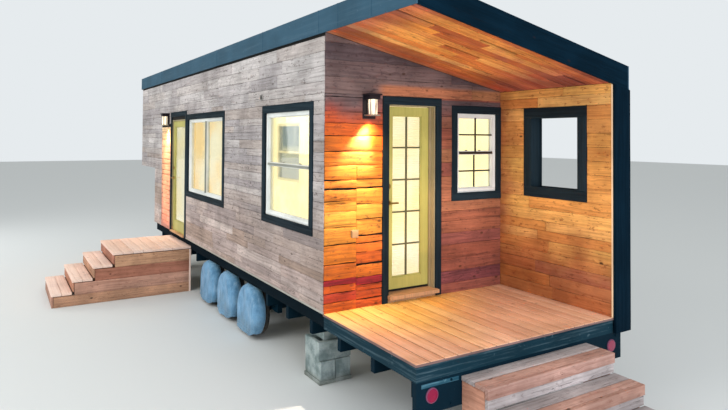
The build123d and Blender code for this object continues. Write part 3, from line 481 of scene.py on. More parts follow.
for number, (x, outward) in enumerate(((wheel_xs[0], -1), (wheel_xs[1], 1))):
    for row, y in enumerate(wheel_ys):
        name = f"wheel_cover_{'left' if outward < 0 else 'right'}_{row + 1}"
        made = piece(name, *cover(x, y, outward, 3 * number + row + 1), cover_cloth, "cover_cloth",
                     crease=70.)
        where = np.array([v.co for v in made.data.vertices])
        corner = np.zeros(len(made.data.loops), int)
        made.data.loops.foreach_get("vertex_index", corner)
        side_on = np.abs(where[:, 1:] - [y, tyre_radius]).max(1) > cover_radius - .02
        u = where[:, 1] - y + np.where(side_on, (where[:, 0] - x) * outward, 0)
        spots = np.stack([u, where[:, 2]], 1)[corner].astype(np.float32)
        made.data.uv_layers.new(name="cloth").data.foreach_set("uv", spots.ravel())
        thick = made.modifiers.new("cloth thickness", "SOLIDIFY")
        thick.thickness, thick.offset = .0012, 0
        if number == 0 and row == 0:
            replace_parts(made, "wheel_covers")

# Block piers
# Hollow concrete blocks laid dry on a thin pad under the main rails: two side by side, one across them
# and a cap block. Grey and pitted, with chipped edges.
pier_low, pier_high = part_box("block_piers")
grey_block, skin, place = finish("grey concrete block", .9)
cloud, pits = noise(place, 6., 6., .6), noise(place, 130., 4., .75)
colour = mixed(spread(cloud, .35, .65), "a6b2b0", "6f7f7e")
colour = mixed(spread(pits, .42, .3), colour, "3c403f")
feed(skin, {"Base Color": mixed(times(spread(xyz(place)["Z"], .12, 0.), .5), colour, "6b6353")})
bump(skin, calc("ADD", cloud, pits), .004, .7)


def hollow_block(x, y, z, web):
    """One block's two face shells and three webs, as boxes; web names the axis that the webs cross."""
    made = []
    for a0, a1, b0, b1 in ((0, 1, 0, .17), (0, 1, .83, 1), (0, .1, .17, .83), (.45, .55, .17, .83),
                           (.9, 1, .17, .83)):
        if web == "y":
            a0, a1, b0, b1 = b0, b1, a0, a1
        made.append(((x[0] + (x[1] - x[0]) * a0, y[0] + (y[1] - y[0]) * b0, z[0]),
                     (x[0] + (x[1] - x[0]) * a1, y[0] + (y[1] - y[0]) * b1, z[1])))
    return made


blocks = []
for x, cap in ((pier_low.x, .08), (pier_high.x - .39, 0)):
    for y in (pier_low.y, pier_high.y - .37):
        blocks += [((x, y + .002, 0), (x + .39, y + .37, .044)),
                   ((x + cap + .002, y + .062, pier_high.z - .115), (x + cap + .308, y + .31, pier_high.z))]
        blocks += hollow_block((x + .012, x + .19), (y, y + .368), (.045, .244), "y")
        blocks += hollow_block((x + .2, x + .378), (y + .006, y + .37), (.045, .243), "y")
        blocks += hollow_block((x, x + .39), (y + .02, y + .352), (.245, .445), "x")
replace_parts(boards("concrete_blocks", blocks, grey_block, "concrete", along=2, out=0, soft=.004, wave=.0012,
                   steps=8, seed=4), "block_piers")

# Floor and house walls
# An insulated timber platform, framed walls with dark weather membrane outside and cream boards
# inside that glow by their own emission, painted light standing in for a lit room behind the windows.
# The cladding and floorboards go over them.
left_low, left_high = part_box("left_wall_near")
right_low, right_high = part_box("right_wall")
end_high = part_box("end_wall")[1]
x_left, x_right_in, x_right = left_low.x, right_low.x, right_high.x
y_front, y_back, y_loft = left_low.y, end_high.y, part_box("left_wall_far")[1].y
z_deck, z_loft, roof_left = left_low.z, end_high.z, left_high.z
y_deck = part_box("porch_deck")[0].y
roof_pitch = 2.5 / 12


def roof_z(x):
    """Height of the roof's underside at x."""
    return roof_left - roof_pitch * (x - x_left)


shell, skin, place = finish("membrane and glowing lining", .85)
spot = xyz(place)
room = calc("GREATER_THAN", spot["X"], x_left + .08)
for axis, task, limit in (("X", "LESS_THAN", x_right - .08), ("Y", "GREATER_THAN", y_front + .08),
                          ("Y", "LESS_THAN", y_loft - .08), ("Z", "GREATER_THAN", z_deck + .012)):
    room = times(room, calc(task, spot[axis], limit))
cloud = noise(place, 1.6, 3.)
lining = mixed(spread(cloud, .35, .65), "f5f0d9", "efe5c2")
# Inside the room the cream lining glows by its own emission: painted light standing in for a lit room.
feed(skin, {"Base Color": mixed(room, mixed(noise(place, 30.), "1a1715", "121110"), lining),
            "Emission Color": mixed(room, "000000", lining), "Emission Strength": .6})
bump(skin, cloud, .001, .3)
dress(shell, "left_wall_near", "left_wall_far", "left_wall_over_door", "right_wall", "end_wall",
      "loft_end_wall", "porch_wall_left", "porch_wall_right", "porch_wall_over_door", "porch_side_wall",
      "loft_floor", "roof_panel")

figure_group, into, end = group("timber figure", {"Grain": "Vector"}, ("Streak", "Fibre", "Knot", "Crack"))
grain = into["Grain"]
axes = xyz(grain)
cells = put(grain, "TexVoronoi", {"Vector": stretch(grain, 4.4, 8., 1.), "Scale": 1.,
                                  "Randomness": .9}).outputs
chosen = calc("GREATER_THAN", put(grain, "SeparateColor", {0: cells["Color"]}).outputs[0], .7)
knot, halo = (times(spread(cells["Distance"], *reach), chosen) for reach in ((.14, .07), (.42, .05)))
line = calc("MULTIPLY_ADD", noise(stretch(grain, .9, 2.6, 1.), 1., 2.), .06, axes["Y"])
line = calc("MULTIPLY_ADD", halo, .02, line)
figure = put(grain, "CombineXYZ", {0: axes["X"], 1: line, 2: axes["Z"]}).outputs[0]
off_split = calc("ABSOLUTE", calc("SUBTRACT", noise(stretch(figure, 1., 27., 1.3), 1., 3., .5), .5))
some = spread(noise(stretch(figure, 1.9, 6., 2.), 1., 2.), .52, .6)
feed(end, {"Streak": noise(stretch(figure, 1.3, 44., 1.), 1., 5., .62),
           "Fibre": noise(stretch(figure, 9., 320., 1.), 1., 2.),
           "Knot": knot, "Crack": times(spread(off_split, .007, .002), some)})


def wood(name, tones, dark, depth=.5, cracks=.7, knots=.6, rough=.75, relief=.0016, patches=.3, run=None,
         dusty=0., spots=0., tones_by_place=None, where=None, gloss=.35):
    """Sawn timber. tones are the colours of single boards, dark the colour in the grain, depth how strong
    the grain is, patches how cloudy the surface and spots how many dark stains it has. run names the
    grain's axis where a piece has no board marks of its own. A second set of tones may be given, and
    where works out their share from a place: on some pieces they are boards of another weathering, on
    others painted lamp glow and painted shade."""
    made, skin, place = finish(name, rough, 0., gloss)
    if run is None:
        grain = put(place, "Attribute", attribute_name="grain").outputs["Vector"]
        tone = put(place, "Attribute", attribute_name="tone").outputs["Fac"]
    else:
        spot = xyz(place)
        others = [spot[axis] for axis in "XYZ" if axis != run]
        grain = put(place, "CombineXYZ", {0: spot[run], 1: calc("ADD", *others)}).outputs[0]
        tone = noise(place, .9, 1.)
    figure = put(place, "Group", {"Grain": grain}, node_tree=figure_group).outputs

    def ramp(codes):
        made = put(place, "ValToRGB", {"Fac": tone})
        stops = made.color_ramp.elements
        while len(stops) < len(codes):
            stops.new(.5)
        for i, code in enumerate(codes):
            stops[i].position = i / (len(codes) - 1)
            stops[i].color = tint(code)
        return made.outputs[0]

    colour = mixed(where(place), ramp(tones), ramp(tones_by_place)) if where else ramp(tones)
    colour = shaded(colour, spread(noise(place, 1.7, 4., .6), .3, .7, 1 - patches, 1 + patches * .6))
    if spots:
        stain = noise(stretch(grain, 14., 26., 1.), 1., 4., .7)
        colour = mixed(times(spread(stain, .56, .68), spots), colour, dark)
    colour = mixed(times(spread(figure["Streak"], .62, .3), depth), colour, dark)
    colour = mixed(times(spread(figure["Fibre"], .6, .3), depth * .5), colour, dark)
    colour = mixed(times(figure["Knot"], knots), colour, "3b2519")
    colour = mixed(times(figure["Crack"], cracks), colour, "17110d")
    if dusty:
        colour = mixed(times(dusted(place, dusty)["Dust"], .35), colour, "6f6558")
    feed(skin, {"Base Color": colour, "Roughness": spread(figure["Streak"], .3, .7, rough + .1, rough - .12)})
    grooves = calc("MULTIPLY_ADD", figure["Fibre"], .35, figure["Streak"])
    bump(skin, calc("SUBTRACT", grooves, times(figure["Crack"], 1.2)), relief, .7)
    return made


dress(wood("pale floorboards", ["ecdcb6", "e6d2a6"], "c7a878", .3, .1, .2, .45, run="Y"), "floor")
(x0, y0, z0), (x1, y1, _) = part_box("floor")
skirt = painted("platform membrane", "0a1820", "1c2a31", .8, dirt="2f3533", gloss=.05)
boards("platform_skirts", [((x0 - .004, y0, z0), (x0 + .002, y1, z_deck)),
                           ((x1 - .002, y0, z0), (x1 + .004, y1, z_deck)),
                           ((x0, y1 - .002, z0), (x1, y1 + .004, z_deck))], skirt, "floor_wood")


# Reclaimed board cladding
# Weathered barn boards of three widths and many lengths, nailed flat over the membrane on all four
# walls, with open butt joints and wavy edges. Outside they are silver-grey and brown.
def pairs(marks):
    """Each mark with the next one."""
    return zip(marks[:-1], marks[1:])


def courses(reach, marks, holes, seed, heights=(.089, .089, .114, .14), lengths=(.35, 1.7)):
    """Rows of boards between height marks, cut to random lengths and stopped at the holes:
    an array of (start, end, bottom, top)."""
    rng, found = np.random.default_rng(seed), []
    for low, high in pairs(marks):
        if high - low < .004:
            continue
        rows = []
        while not rows or sum(rows) < high - low - .045:
            rows.append(rng.choice(heights))
        for t0, t1 in pairs(low + np.concatenate([[0], np.cumsum(rows)]) * (high - low) / sum(rows)):
            free = [reach]
            for s0, s1, h0, h1 in holes:
                if t0 < h1 - .003 and t1 > h0 + .003:
                    free = [part for a, b in free for part in ((a, min(b, s0)), (max(a, s1), b))
                            if part[1] - part[0] > .01]
            for a, b in free:
                while b - a > .001:
                    cut = a + rng.uniform(*lengths)
                    cut = b if b - cut < .25 else cut
                    found.append((a, cut, t0, t1))
                    a = cut
    return np.array(found)


def clad(name, axis, face, side, rows, material, slot, thick=.013, vary=.002, gap=.0016, wave=.0016, seed=1,
         shape=None, steps=10, tones=None):
    """Boards over a wall. axis is the wall's normal, face its plane and side the way that it looks."""
    rng = np.random.default_rng(seed)
    proud = thick + rng.uniform(-vary, vary, len(rows))
    butt = rng.choice([gap * .5, .0015, .003], len(rows), p=[.5, .3, .2])
    depth = np.sort([np.full(len(rows), face), face + side * proud], 0)
    low = np.stack([depth[0], rows[:, 0] + butt, rows[:, 2] + gap], 1)
    high = np.stack([depth[1], rows[:, 1] - butt, rows[:, 3] - gap], 1)
    boxes = np.stack([low, high], 1)[..., [0, 1, 2] if axis == 0 else [1, 0, 2]]
    return boards(name, boxes, material, slot, along=1 - axis, out=axis, side=side, soft=.0025, wave=wave,
                  steps=steps, seed=seed, shape=shape, tones=tones)


def with_trim(s, t):
    """The hole in the boards for a window and its trim, from the window's span and height."""
    return (s[0] - .082, s[1] + .082, t[0] - .09, t[1] + .09)


def under_roof(drop):
    """Holds a piece's points below the roof."""
    def held(spots):
        spots[..., 2] = np.minimum(spots[..., 2], roof_z(spots[..., 0]) - drop)
        return spots
    return held


def span_of(node, axis):
    """A node's span along a wall whose normal is axis, and its height."""
    low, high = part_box(node)
    return (low[1 - axis], high[1 - axis]), (low.z, high.z)


left_span, pane_height = span_of("left_window_frames", 0)
hung_width, slide_width = 1.22, 1.83
living = (left_span[0], left_span[0] + hung_width)
long_pane = (left_span[1] - slide_width, left_span[1])
right_end = span_of("right_window_frames", 0)[0][1]
kitchen = (right_end - hung_width, right_end)
loft_pane, porch_pane = span_of("loft_window_frame", 1), span_of("porch_window_frame", 1)
window_rows = with_trim(living, pane_height)[2:]
trim_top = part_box("door_trim")[1].z
side_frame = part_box("side_door_frame")
side_clear = (side_frame[0].y + .02, side_frame[1].y - .02)
side_trim = (side_clear[0] - .092, side_clear[1] + .092, z_deck - 1, trim_top + .002)


def low_down(place):
    """The share of redder boards, which grows towards the ground."""
    return spread(calc("MULTIPLY_ADD", noise(place, .9), 1.2, xyz(place)["Z"]), 3., 1.6)


grey_siding = wood("weathered grey boards",
                   ["aaa4a4", "b9b3b1", "c6c0bd", "bcb0a9", "b1a69f", "cec8c5", "b0a9a9", "c0b8b4"],
                   "5f5450", .42, .85, .6, .84, .0022, .3, dusty=.9, spots=.7,
                   tones_by_place=["ac9a94", "bfaaa2", "ccb6ab", "b8a194", "aa9181", "d1bfb6", "b3a09a", "c4ad9f"],
                   where=low_down)
lit_end, lit_top = 3.82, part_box("wall_lights")[0].z
under_loft = (y_back + .002, 9, 0, z_loft)
left_rows = courses((y_front - .014, y_loft), [z_deck, window_rows[0], z_loft, window_rows[1], side_trim[3],
                                               roof_left - .055],
                    [with_trim(living, pane_height), with_trim(long_pane, pane_height), side_trim, under_loft,
                     (side_trim[1] - .01, lit_end, 0, lit_top)], 11)
at_corner = left_rows[:, 0] < y_front
left_rows[at_corner, 0] += np.random.default_rng(3).uniform(0, .007, at_corner.sum())
clad("left_wall_boards", 0, x_left, -1, left_rows, grey_siding, "siding_grey", .0095, .0012, gap=.0013,
     seed=12)
look_low, look_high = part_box("lookout_frame")
lookout = (look_low.y - .002, look_high.y + .002, look_low.z - .002, look_high.z + .002)
right_rows = courses((y_deck, y_loft), [z_deck, window_rows[0], z_loft, lookout[3], window_rows[1],
                                        roof_z(x_right) - .002],
                     [with_trim(kitchen, pane_height), with_trim(long_pane, pane_height), lookout,
                      under_loft], 21)
clad("right_wall_boards", 0, x_right, 1, right_rows, grey_siding, "siding_grey", seed=22,
     shape=under_roof(.002))
end_rows = courses((x_left, x_right), [z_deck, z_loft], [], 31)
clad("end_wall_boards", 1, y_back, 1, end_rows, grey_siding, "siding_grey", seed=32)
loft_hole = with_trim(*loft_pane)
loft_rows = courses((x_left - .009, x_right + .012), [z_loft, *loft_hole[2:], roof_left], [loft_hole], 33)
loft_rows = loft_rows[roof_z(loft_rows[:, 0]) - .02 > loft_rows[:, 2]]
clad("loft_end_boards", 1, y_loft, 1, loft_rows, grey_siding, "siding_grey", seed=34, shape=under_roof(.002))
# Boards beside the side door get their own warm colour, paler towards the lamp: painted lamp light on top of
# the lamp's real light.
lit_rows = courses((side_trim[1] - .008, lit_end), [z_deck, window_rows[0], z_loft, lit_top], [], 15)
lit_siding = wood("side door boards in painted lamp light", ["d99686", "dd9c84", "e2a786", "e8b890", "f0d2a0"],
                  "9a5c44", .4, .7, .6, .7, .0022, .3, spots=.5, gloss=.2)
clad("side_lamp_boards", 0, x_left, -1, lit_rows, lit_siding, "siding_warm", .0095, .0015, gap=.003,
     wave=.004, seed=16, tones=(lit_rows[:, 2] - z_deck) / (lit_top - z_deck))
flashing = painted("galvanised flashing", "b9b7ae", "8c8a84", .45, .4, .6)
boards("wall_base_flashing", [((x_left - .0125, y_front - .015, z_deck - .001),
                               (x_left + .002, side_trim[0], z_deck + .018))],
       flashing, "siding_grey", side=-1, soft=.0008)


# Porch walls
# The same barn boards, brushed and oiled. On the wall with the door, the orange and yellow under the
# lamp and left of the door is painted lamp glow, and the side wall is painted darker near the deck and
# in the back corner as painted shade. The edges were left more ragged, with dark gaps between some rows.
def below_lamp(place):
    """The share of painted lamp glow: all to the left of the door and under the lamp, less beyond and above.
    """
    spot = xyz(place)
    low = spread(calc("MULTIPLY_ADD", noise(place, 2.5), .4, spot["Z"]), 3.25, 2.9)
    band = times(spread(spot["Z"], 3.03, 3.06), spread(spot["Z"], 3.2, 3.15))
    band = times(band, spread(spot["X"], .3, .45, 0., .4))
    return calc("MAXIMUM", band, times(spread(spot["X"], 1.15, .4, .4, 1.), low))


porch_siding = wood("barn boards in painted lamp glow", ["6b5d60", "776766", "625659", "846f6b", "706060"],
                    "38282a", .45, .7, .7, .7, .0022, .35, spots=.5, where=below_lamp, gloss=.2,
                    tones_by_place=["b2303a", "d4582e", "e8702c", "f08a30", "f5a842"])


def by_corner(place):
    """The share of redder, darker boards near the deck and in the back corner: painted shade."""
    spot, drift = xyz(place), calc("MULTIPLY_ADD", noise(place, 2.), .7, -.35)
    low = spread(calc("ADD", spot["Z"], drift), 1.75, 1.15, 0., .9)
    return calc("MAXIMUM", low, spread(calc("ADD", spot["Y"], drift), y_front - .3, y_front - .02, 0., .8))


warm_siding = wood("oiled barn boards", ["e6aa5c", "dc9854", "f0bb68", "d28848", "e8ac5e", "f5c678",
                                         "dd9c58"],
                   "7a3a20", .42, .7, .9, .62, .0022, .34, spots=.7, gloss=.2,
                   tones_by_place=["b8713f", "a8603e", "c4804a", "985444", "b06c44"], where=by_corner)
porch_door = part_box("porch_door_frame")
porch_clear = (porch_door[0].x + .02, porch_door[1].x - .02)
porch_trim = (porch_clear[0] - .092, porch_clear[1] + .092, z_deck - 1, side_trim[3])
porch_hole = with_trim(*porch_pane)
side_face = x_right_in - .013
seam = x_left + .372
# Each row left of the door is its lower edge's height, the gap above that edge and the board's tone.
# The tones, yellowest in the middle of the wall and redder towards the deck and the ceiling, paint the
# lamp's glow.
outer_rows = [(z_deck, 0, .5), (.955, .002, .15), (1.05, .004, .4), (1.123, .003, 0), (1.184, .002, .6),
              (1.336, .01, .75), (1.533, .008, .9), (1.707, .005, 1), (1.862, .003, .9), (1.97, .001, .8),
              (2.089, .018, .8)]
inner_rows = [(z_deck, 0, .35), (.95, .003, .3), (1.04, .002, .3), (1.097, .004, 0), (1.177, .002, .65),
              (1.306, .02, .5), (1.43, .001, .6), (1.526, .007, .65), (1.603, .014, .9), (1.772, .006, 1),
              (1.928, .005, .85), (2.095, .013, .9)]
upper_rows = [(2.184, .008, .75), (2.33, .001, .7), (2.476, .003, .6), (2.633, .005, .45), (2.76, .002, .3),
              (2.88, .002, .2), (3.03, .001, .2)]
left_of_door, left_tones = [], []
for x0, x1, marks in ((x_left, seam + .003, outer_rows + upper_rows[:2]),
                      (seam, porch_trim[0], inner_rows + upper_rows + [(porch_trim[3], 0, 0)])):
    left_of_door += [(x_left if a > 2.3 else x0, x1, a + gap * .6, b - gap_after * .4)
                     for (a, gap, _), (b, gap_after, _) in pairs(marks)]
    left_tones += [tone for _, _, tone in marks[:-1]]
porch_rows = courses((x_left, side_face), [z_deck, *porch_hole[2:], porch_trim[3], roof_left],
                     [(x_left - 1, porch_trim[1], 0, porch_trim[3]), porch_hole], 47,
                     heights=(.114, .14, .14, .165), lengths=(.7, 2.4))
porch_rows = porch_rows[roof_z(porch_rows[:, 0]) - .03 > porch_rows[:, 2]]
side_rows = courses((y_deck, y_front), [z_deck, *lookout[2:], roof_z(x_right_in)], [lookout], 43,
                    heights=(.114, .14, .14), lengths=(.5, 1.6))
for name, axis, face, rows, timber, vary, gap, wave, seed, steps, tones in (
        ("porch_left_boards", 1, y_front, np.array(left_of_door), porch_siding, .0025, .0014, .005, 41, 14,
         left_tones),
        ("porch_wall_boards", 1, y_front, porch_rows, porch_siding, .002, .001, .002, 42, 14, None),
        ("porch_side_boards", 0, x_right_in, side_rows, warm_siding, .0018, .001, .002, 44, 12, None)):
    clad(name, axis, face, -1, rows, timber, "siding_warm", .0125, vary, gap, wave, seed, under_roof(.021),
         steps, tones)
pale_edge = wood("pale corner strip", ["f0cfa8", "e8c39a"], "c09468", .3, .3, .3, .7)
boards("porch_corner_strip",
       [((x_right_in - .0165, y_deck, z_deck), (x_right_in - .0005, y_deck + .009, 3.2))], pale_edge,
       "siding_warm", along=2, out=0, side=-1, soft=.001, steps=2, shape=under_roof(.021))


# Porch ceiling
# Reclaimed boards of mixed widths, red-brown and orange, nailed up the slope under the roof. Some
# have shrunk, so that a dark gap shows beside them.
def redder_corners(place):
    """The share of redder ceiling boards: by the back wall and at both ends of the slope."""
    spot = xyz(place)
    back = spread(spot["Y"], y_front - .5, y_front - .1, 0., .75)
    ends = calc("MAXIMUM", spread(spot["X"], x_left + .45, x_left, 0., .8), spread(spot["X"], 1., 2.))
    return calc("MAXIMUM", calc("MAXIMUM", back, ends), spread(noise(place, 2.2), .5, .75, 0., .6))


red_ceiling = wood("red-brown ceiling boards",
                   ["f5a850", "cf7a42", "fabc62", "ea9048", "b8663e", "f4a84e", "fdc878"], "8f4326", .5, .7,
                   .7, .7, .002, .38, spots=.5, tones_by_place=["d0624a", "9c5a56", "d87a58", "8c5452", "c86a58",
                                                       "b07a6a"],
                   where=redder_corners, gloss=.2)
ceiling_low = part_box("porch_ceiling")[0]
ceiling_start = ceiling_low.x + .002
edges = np.array([ceiling_low.y, -4.5, -4.38, -4.315, -4.18, -4.06, -3.93, -3.81, -3.69, -3.57, -3.45, -3.36,
                  -3.24, -3.14, y_front - .013])
dark_gaps = {2: [(.58, 1.04)], 3: [(x_left, .13), (1.74, 2.1)], 5: [(1.8, 2.1)], 6: [(.53, 1.0)],
             9: [(1.2, 1.5)], 11: [(1.75, 2.1)]}
ceiling_rng = np.random.default_rng(5)
ceiling_boxes = []
for n, (y0, y1) in enumerate(pairs(edges)):
    gaps = dark_gaps.get(n, [])
    stops = {ceiling_start, side_face} | {min(max(x, ceiling_start), side_face) for span in gaps
                                          for x in span}
    stops |= {ceiling_rng.uniform(x_left + .5, side_face - .5)} if ceiling_rng.uniform() < .6 else set()
    for a, b in pairs(sorted(stops)):
        gap = .032 if any(start < (a + b) / 2 < end for start, end in gaps) else 0
        ceiling_boxes.append(((a + .001, y0 + gap + .0025, -.0185), (b - .001, y1 - .0025, -.001)))


def on_slope(spots):
    """Lifts points measured from the roof's underside on to its slope."""
    spots[..., 2] += roof_z(spots[..., 0])
    return spots


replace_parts(boards("porch_ceiling_boards", ceiling_boxes, red_ceiling, "ceiling_wood", along=0, out=2,
                   side=-1, wave=.0022, steps=16, seed=6, shape=on_slope), "porch_ceiling")

# Roof skin
# Standing-seam steel sheet laid down the slope over the roof panel, in pans 0.4 m wide with folded
# ribs.
panel_low, panel_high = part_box("roof_panel")
roof_steel = painted("grey roof steel", "59646b", "7c8386", .42, .6, .5, relief=.0003)
pans = np.linspace(panel_low.y + .002, panel_high.y - .002, 27)
rib = np.array([(-.05, .001), (-.004, .0025), (-.0035, .023), (-.0015, .0255), (.0045, .025), (.005, .018),
                (.0045, .0025), (.05, .001)])
profile = np.concatenate([[(pans[0], .001)], *(rib + [y, 0] for y in pans[1:-1]), [(pans[-1], .001)]])
roof_thick = .18
span = np.linspace(panel_low.x + .001, panel_high.x - .001, 9)[:, None]
top = np.stack(np.broadcast_arrays(span, profile[:, 0], roof_z(span) + roof_thick + profile[:, 1]), -1)
roof_skin = piece("roof_sheets", top, grid_faces(*top.shape[:2])[:, [0, 3, 2, 1]], roof_steel, "roof_metal",
                  crease=25.)
sheet_wall = roof_skin.modifiers.new("sheet thickness", "SOLIDIFY")
sheet_wall.thickness, sheet_wall.offset = .0008, 1

# Fascias and porch end board
# Folded metal over boards on the two long eaves, lapped every metre or two and finished with a drip
# lip. Navy stained boards close the sloping ends, and one stands at the porch's far corner.
side_low, side_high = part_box("side_fascias")
slate_metal = painted("slate blue fascia metal", "35576b", "6d8798", .55, .1, .4, wear=.35, gloss=.25,
                      scuff=.2)
joints = np.array([side_low.y, -3.95, -3.35, -2.95, -1.45, .35, 1.75, 3.85, side_high.y])
fascias = []
for x0, x1, z0 in ((side_low.x, panel_low.x, side_high.z - .24), (panel_high.x, side_high.x, side_low.z)):
    sheet, lip, lap = (((x0 + .003, x1), (x0, x0 + .006), (x0, x0 + .003)) if x0 < 0 else
                       ((x0, x1 - .003), (x1 - .006, x1), (x1 - .003, x1)))
    fascias += [((sheet[0], a + .0008, z0 + .002), (sheet[1], b - .0008, z0 + .239))
                for a, b in pairs(joints)]
    fascias.append(((lip[0], side_low.y, z0), (lip[1], side_high.y, z0 + .014)))
    fascias += [((lap[0], y - .012, z0 + .014), (lap[1], y + .014, z0 + .24)) for y in joints[1:-1]]
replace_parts(boards("eaves_fascias", fascias, slate_metal, "fascia_metal", out=0,
                   side=[-1 if high[0] < 0 else 1 for low, high in fascias], soft=.0012, steps=2),
            "side_fascias")
navy = wood("navy stained board", ["072231", "061d2b"], "030d15", .45, .3, .25, .75, .0008, .2, gloss=.04)
fascia_low, fascia_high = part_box("end_fascias")
board_thick = .019
near_end, far_end = fascia_low.y, fascia_high.y - board_thick
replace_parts(boards("end_fascia_boards",
                   [((panel_low.x, near_end, -.03), (panel_high.x, near_end + board_thick, .21)),
                    ((panel_low.x, far_end, -.03), (panel_high.x, fascia_high.y, .21))],
                   navy, "navy_board", along=0, out=1, side=[-1, 1], steps=6, wave=.0004, shape=on_slope),
            "end_fascias")
boards("end_fascia_caps", [((panel_low.x, near_end, .2095), (panel_high.x, near_end + .03, .2115)),
                           ((panel_low.x, far_end, .2095), (panel_high.x, fascia_high.y, .2115))],
       slate_metal, "fascia_metal", along=0, out=2, soft=.0005, steps=4,
       shape=lambda spots: on_slope(spots) - [0, 0, .002])
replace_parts(boards("porch_end_boards", [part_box("porch_end_board")], navy, "navy_board", along=2, out=1,
                   side=-1, steps=20, wave=.0006, seed=3, shape=under_roof(.031)), "porch_end_board")

# Porch deck
# Cedar boards 140 mm wide, laid from front to back with 9 mm gaps and screwed to the steel rim.
# Dark strips down the gaps are painted shade, and the boards' outer edges have weathered grey. Near the
# doorway the decking is painted yellow-orange as lamp glow.
deck_low, deck_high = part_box("porch_deck")


def far_corner(place):
    """The share of redder decking, which grows away from the doorway; the yellower decking near the doorway is
    painted lamp glow.
    """
    spot = xyz(place)
    aside = calc("ABSOLUTE", calc("SUBTRACT", spot["X"], .45))
    reach = calc("MULTIPLY_ADD", noise(place, 1.4), .5, calc("MULTIPLY_ADD", spot["Y"], -1., aside))
    return spread(reach, 3.6, 5.1)


# Yellow-orange boards near the doorway, pinker further off: painted lamp glow.
cedar_deck = wood("cedar decking with painted lamp glow", ["ffd06a", "fdc660", "ffd77e", "fbbc54", "ffd272"], "b06a30", .35,
                  .35, .45, .6, .0012, .18, gloss=.25, where=far_corner,
                  tones_by_place=["e9ba98", "e3b090", "f0c4a4", "dcaa8c", "e7b696"])
# Near-black strips down the gaps between the deck boards: painted shade.
deck_gap_shade = painted("gap fill in painted shade", "3a2416", "24170f", .95, gloss=.1)
lines = np.linspace(deck_low.x, deck_high.x, 18)
half_gap = .0045
deck = boards("deck_boards",
              [((a + half_gap, deck_low.y, deck_low.z), (b - half_gap, deck_high.y - .001, deck_high.z))
               for a, b in pairs(lines)],
              cedar_deck, "deck_cedar", along=1, out=2, soft=.004, wave=.0008, steps=8, seed=9)
boards("deck_gaps_in_shade", [((a - .006, deck_low.y + .004, deck_low.z + .001),
                          (a + .006, deck_high.y - .003, deck_high.z - .005)) for a in lines[1:-1]],
       deck_gap_shade, "deck_cedar", along=1, out=2, soft=.001)
boards("deck_joist_sheet", [((deck_low.x + .013, deck_low.y + .013, deck_low.z - .003),
                             (deck_high.x, deck_high.y, deck_low.z - .0005))], skirt, "deck_cedar")
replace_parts(deck, "porch_deck")
grey_edge = wood("weathered deck edge", ["93766e", "856a66"], "4a3a3a", .5, .5, .4, .75, .0012, .3, gloss=.2)
edge_low, edge_top = deck_low.z + .001, deck_high.z - .0045
boards("deck_edge_strips",
       [((deck_low.x, deck_low.y - .0004, edge_low), (deck_high.x, deck_low.y + .0015, edge_top)),
        ((deck_low.x - .0004, deck_low.y, edge_low), (deck_low.x + .0035, deck_high.y, edge_top))],
       grey_edge, "deck_cedar", side=-1, soft=.0005, steps=4)
screw_outline = [(0, 0), (.0042, 0), (.0036, .0008), (.0015, .0005), (0, .0003)]
deck_screws = [((a + b) / 2 + d, y, deck_high.z) for a, b in pairs(lines) for d in (-.045, .045)
               for y in (deck_low.y + .03, (deck_low.y + deck_high.y) / 2, deck_high.y - .05)]
rods("deck_screws", turned(np.array(deck_screws) - [0, 0, .0004], 2, screw_outline, 10), bare_steel,
     "steel_frame", loop=True)
boards("bumper_top_edge", [((bumper_low.x + .05, bumper_low.y - .001, bumper_high.z - .054),
                            (.15, bumper_low.y + .01, bumper_high.z - .02))],
       painted("rubbed blue paint", "1c4454", "5f8a98", .6, gloss=.1, scuff=.8), "steel_frame",
       along=0, out=1, side=-1, soft=.0008)


# Windows
# White vinyl frames with a meeting rail or stile, snap-in beads round each pane, an outer fin and
# small locks. The porch window has thin dark bars, and dark-stained boards go round them all.
def slab(axis, depth, s, t):
    """A box given by its depth through a wall, its span along it and its height: (low, high)."""
    low, high = (depth[0], s[0], t[0]), (depth[1], s[1], t[1])
    return (low, high) if axis == 0 else ((low[1], low[0], low[2]), (high[1], high[0], high[2]))


def ring_of(axis, depth, s, t, wide):
    """Four bars round the inside of a rectangle."""
    return [slab(axis, depth, s, (t[0], t[0] + wide)), slab(axis, depth, s, (t[1] - wide, t[1])),
            slab(axis, depth, (s[0], s[0] + wide), (t[0] + wide, t[1] - wide)),
            slab(axis, depth, (s[1] - wide, s[1]), (t[0] + wide, t[1] - wide))]


def about(middle, reach):
    """A span that reaches as far to both sides."""
    return (middle - reach, middle + reach)


vinyl = painted("white vinyl", "e9ebe6", "cfd0ca", .35, wear=.2, relief=.0002)
# The meeting rails are drawn grey instead of white: painted shade. The small locks share this grey.
shaded_vinyl = painted("vinyl rails in painted shade", "8d8f84", "6f7068", .45, wear=.3, relief=.0002)
clear, skin, _ = finish("clear glass", .02)
feed(skin, {"Base Color": (.93, .97, .95, 1), "Transmission Weight": 1., "IOR": 1.45})
dress(vinyl, "left_window_frames", "right_window_frames", "loft_window_frame", "porch_window_frame")
dress(clear, "window_glass", "side_door_glass", "porch_door_glass")
slate = wood("dark slate stained board", ["1d2e38", "18272f", "22343e"], "0b1318", .5, .4, .35, .65, .0012,
             .2, gloss=.15)
windows = ((0, x_left, -1, living, pane_height, "hung"), (0, x_left, -1, long_pane, pane_height, "slide"),
           (0, x_right, 1, kitchen, pane_height, "hung"), (0, x_right, 1, long_pane, pane_height, "slide"),
           (1, y_front, -1, *porch_pane, "hung"), (1, y_loft, 1, *loft_pane, "slide"))
frame_face, half_rail, trim_wide = .045, .012, .08
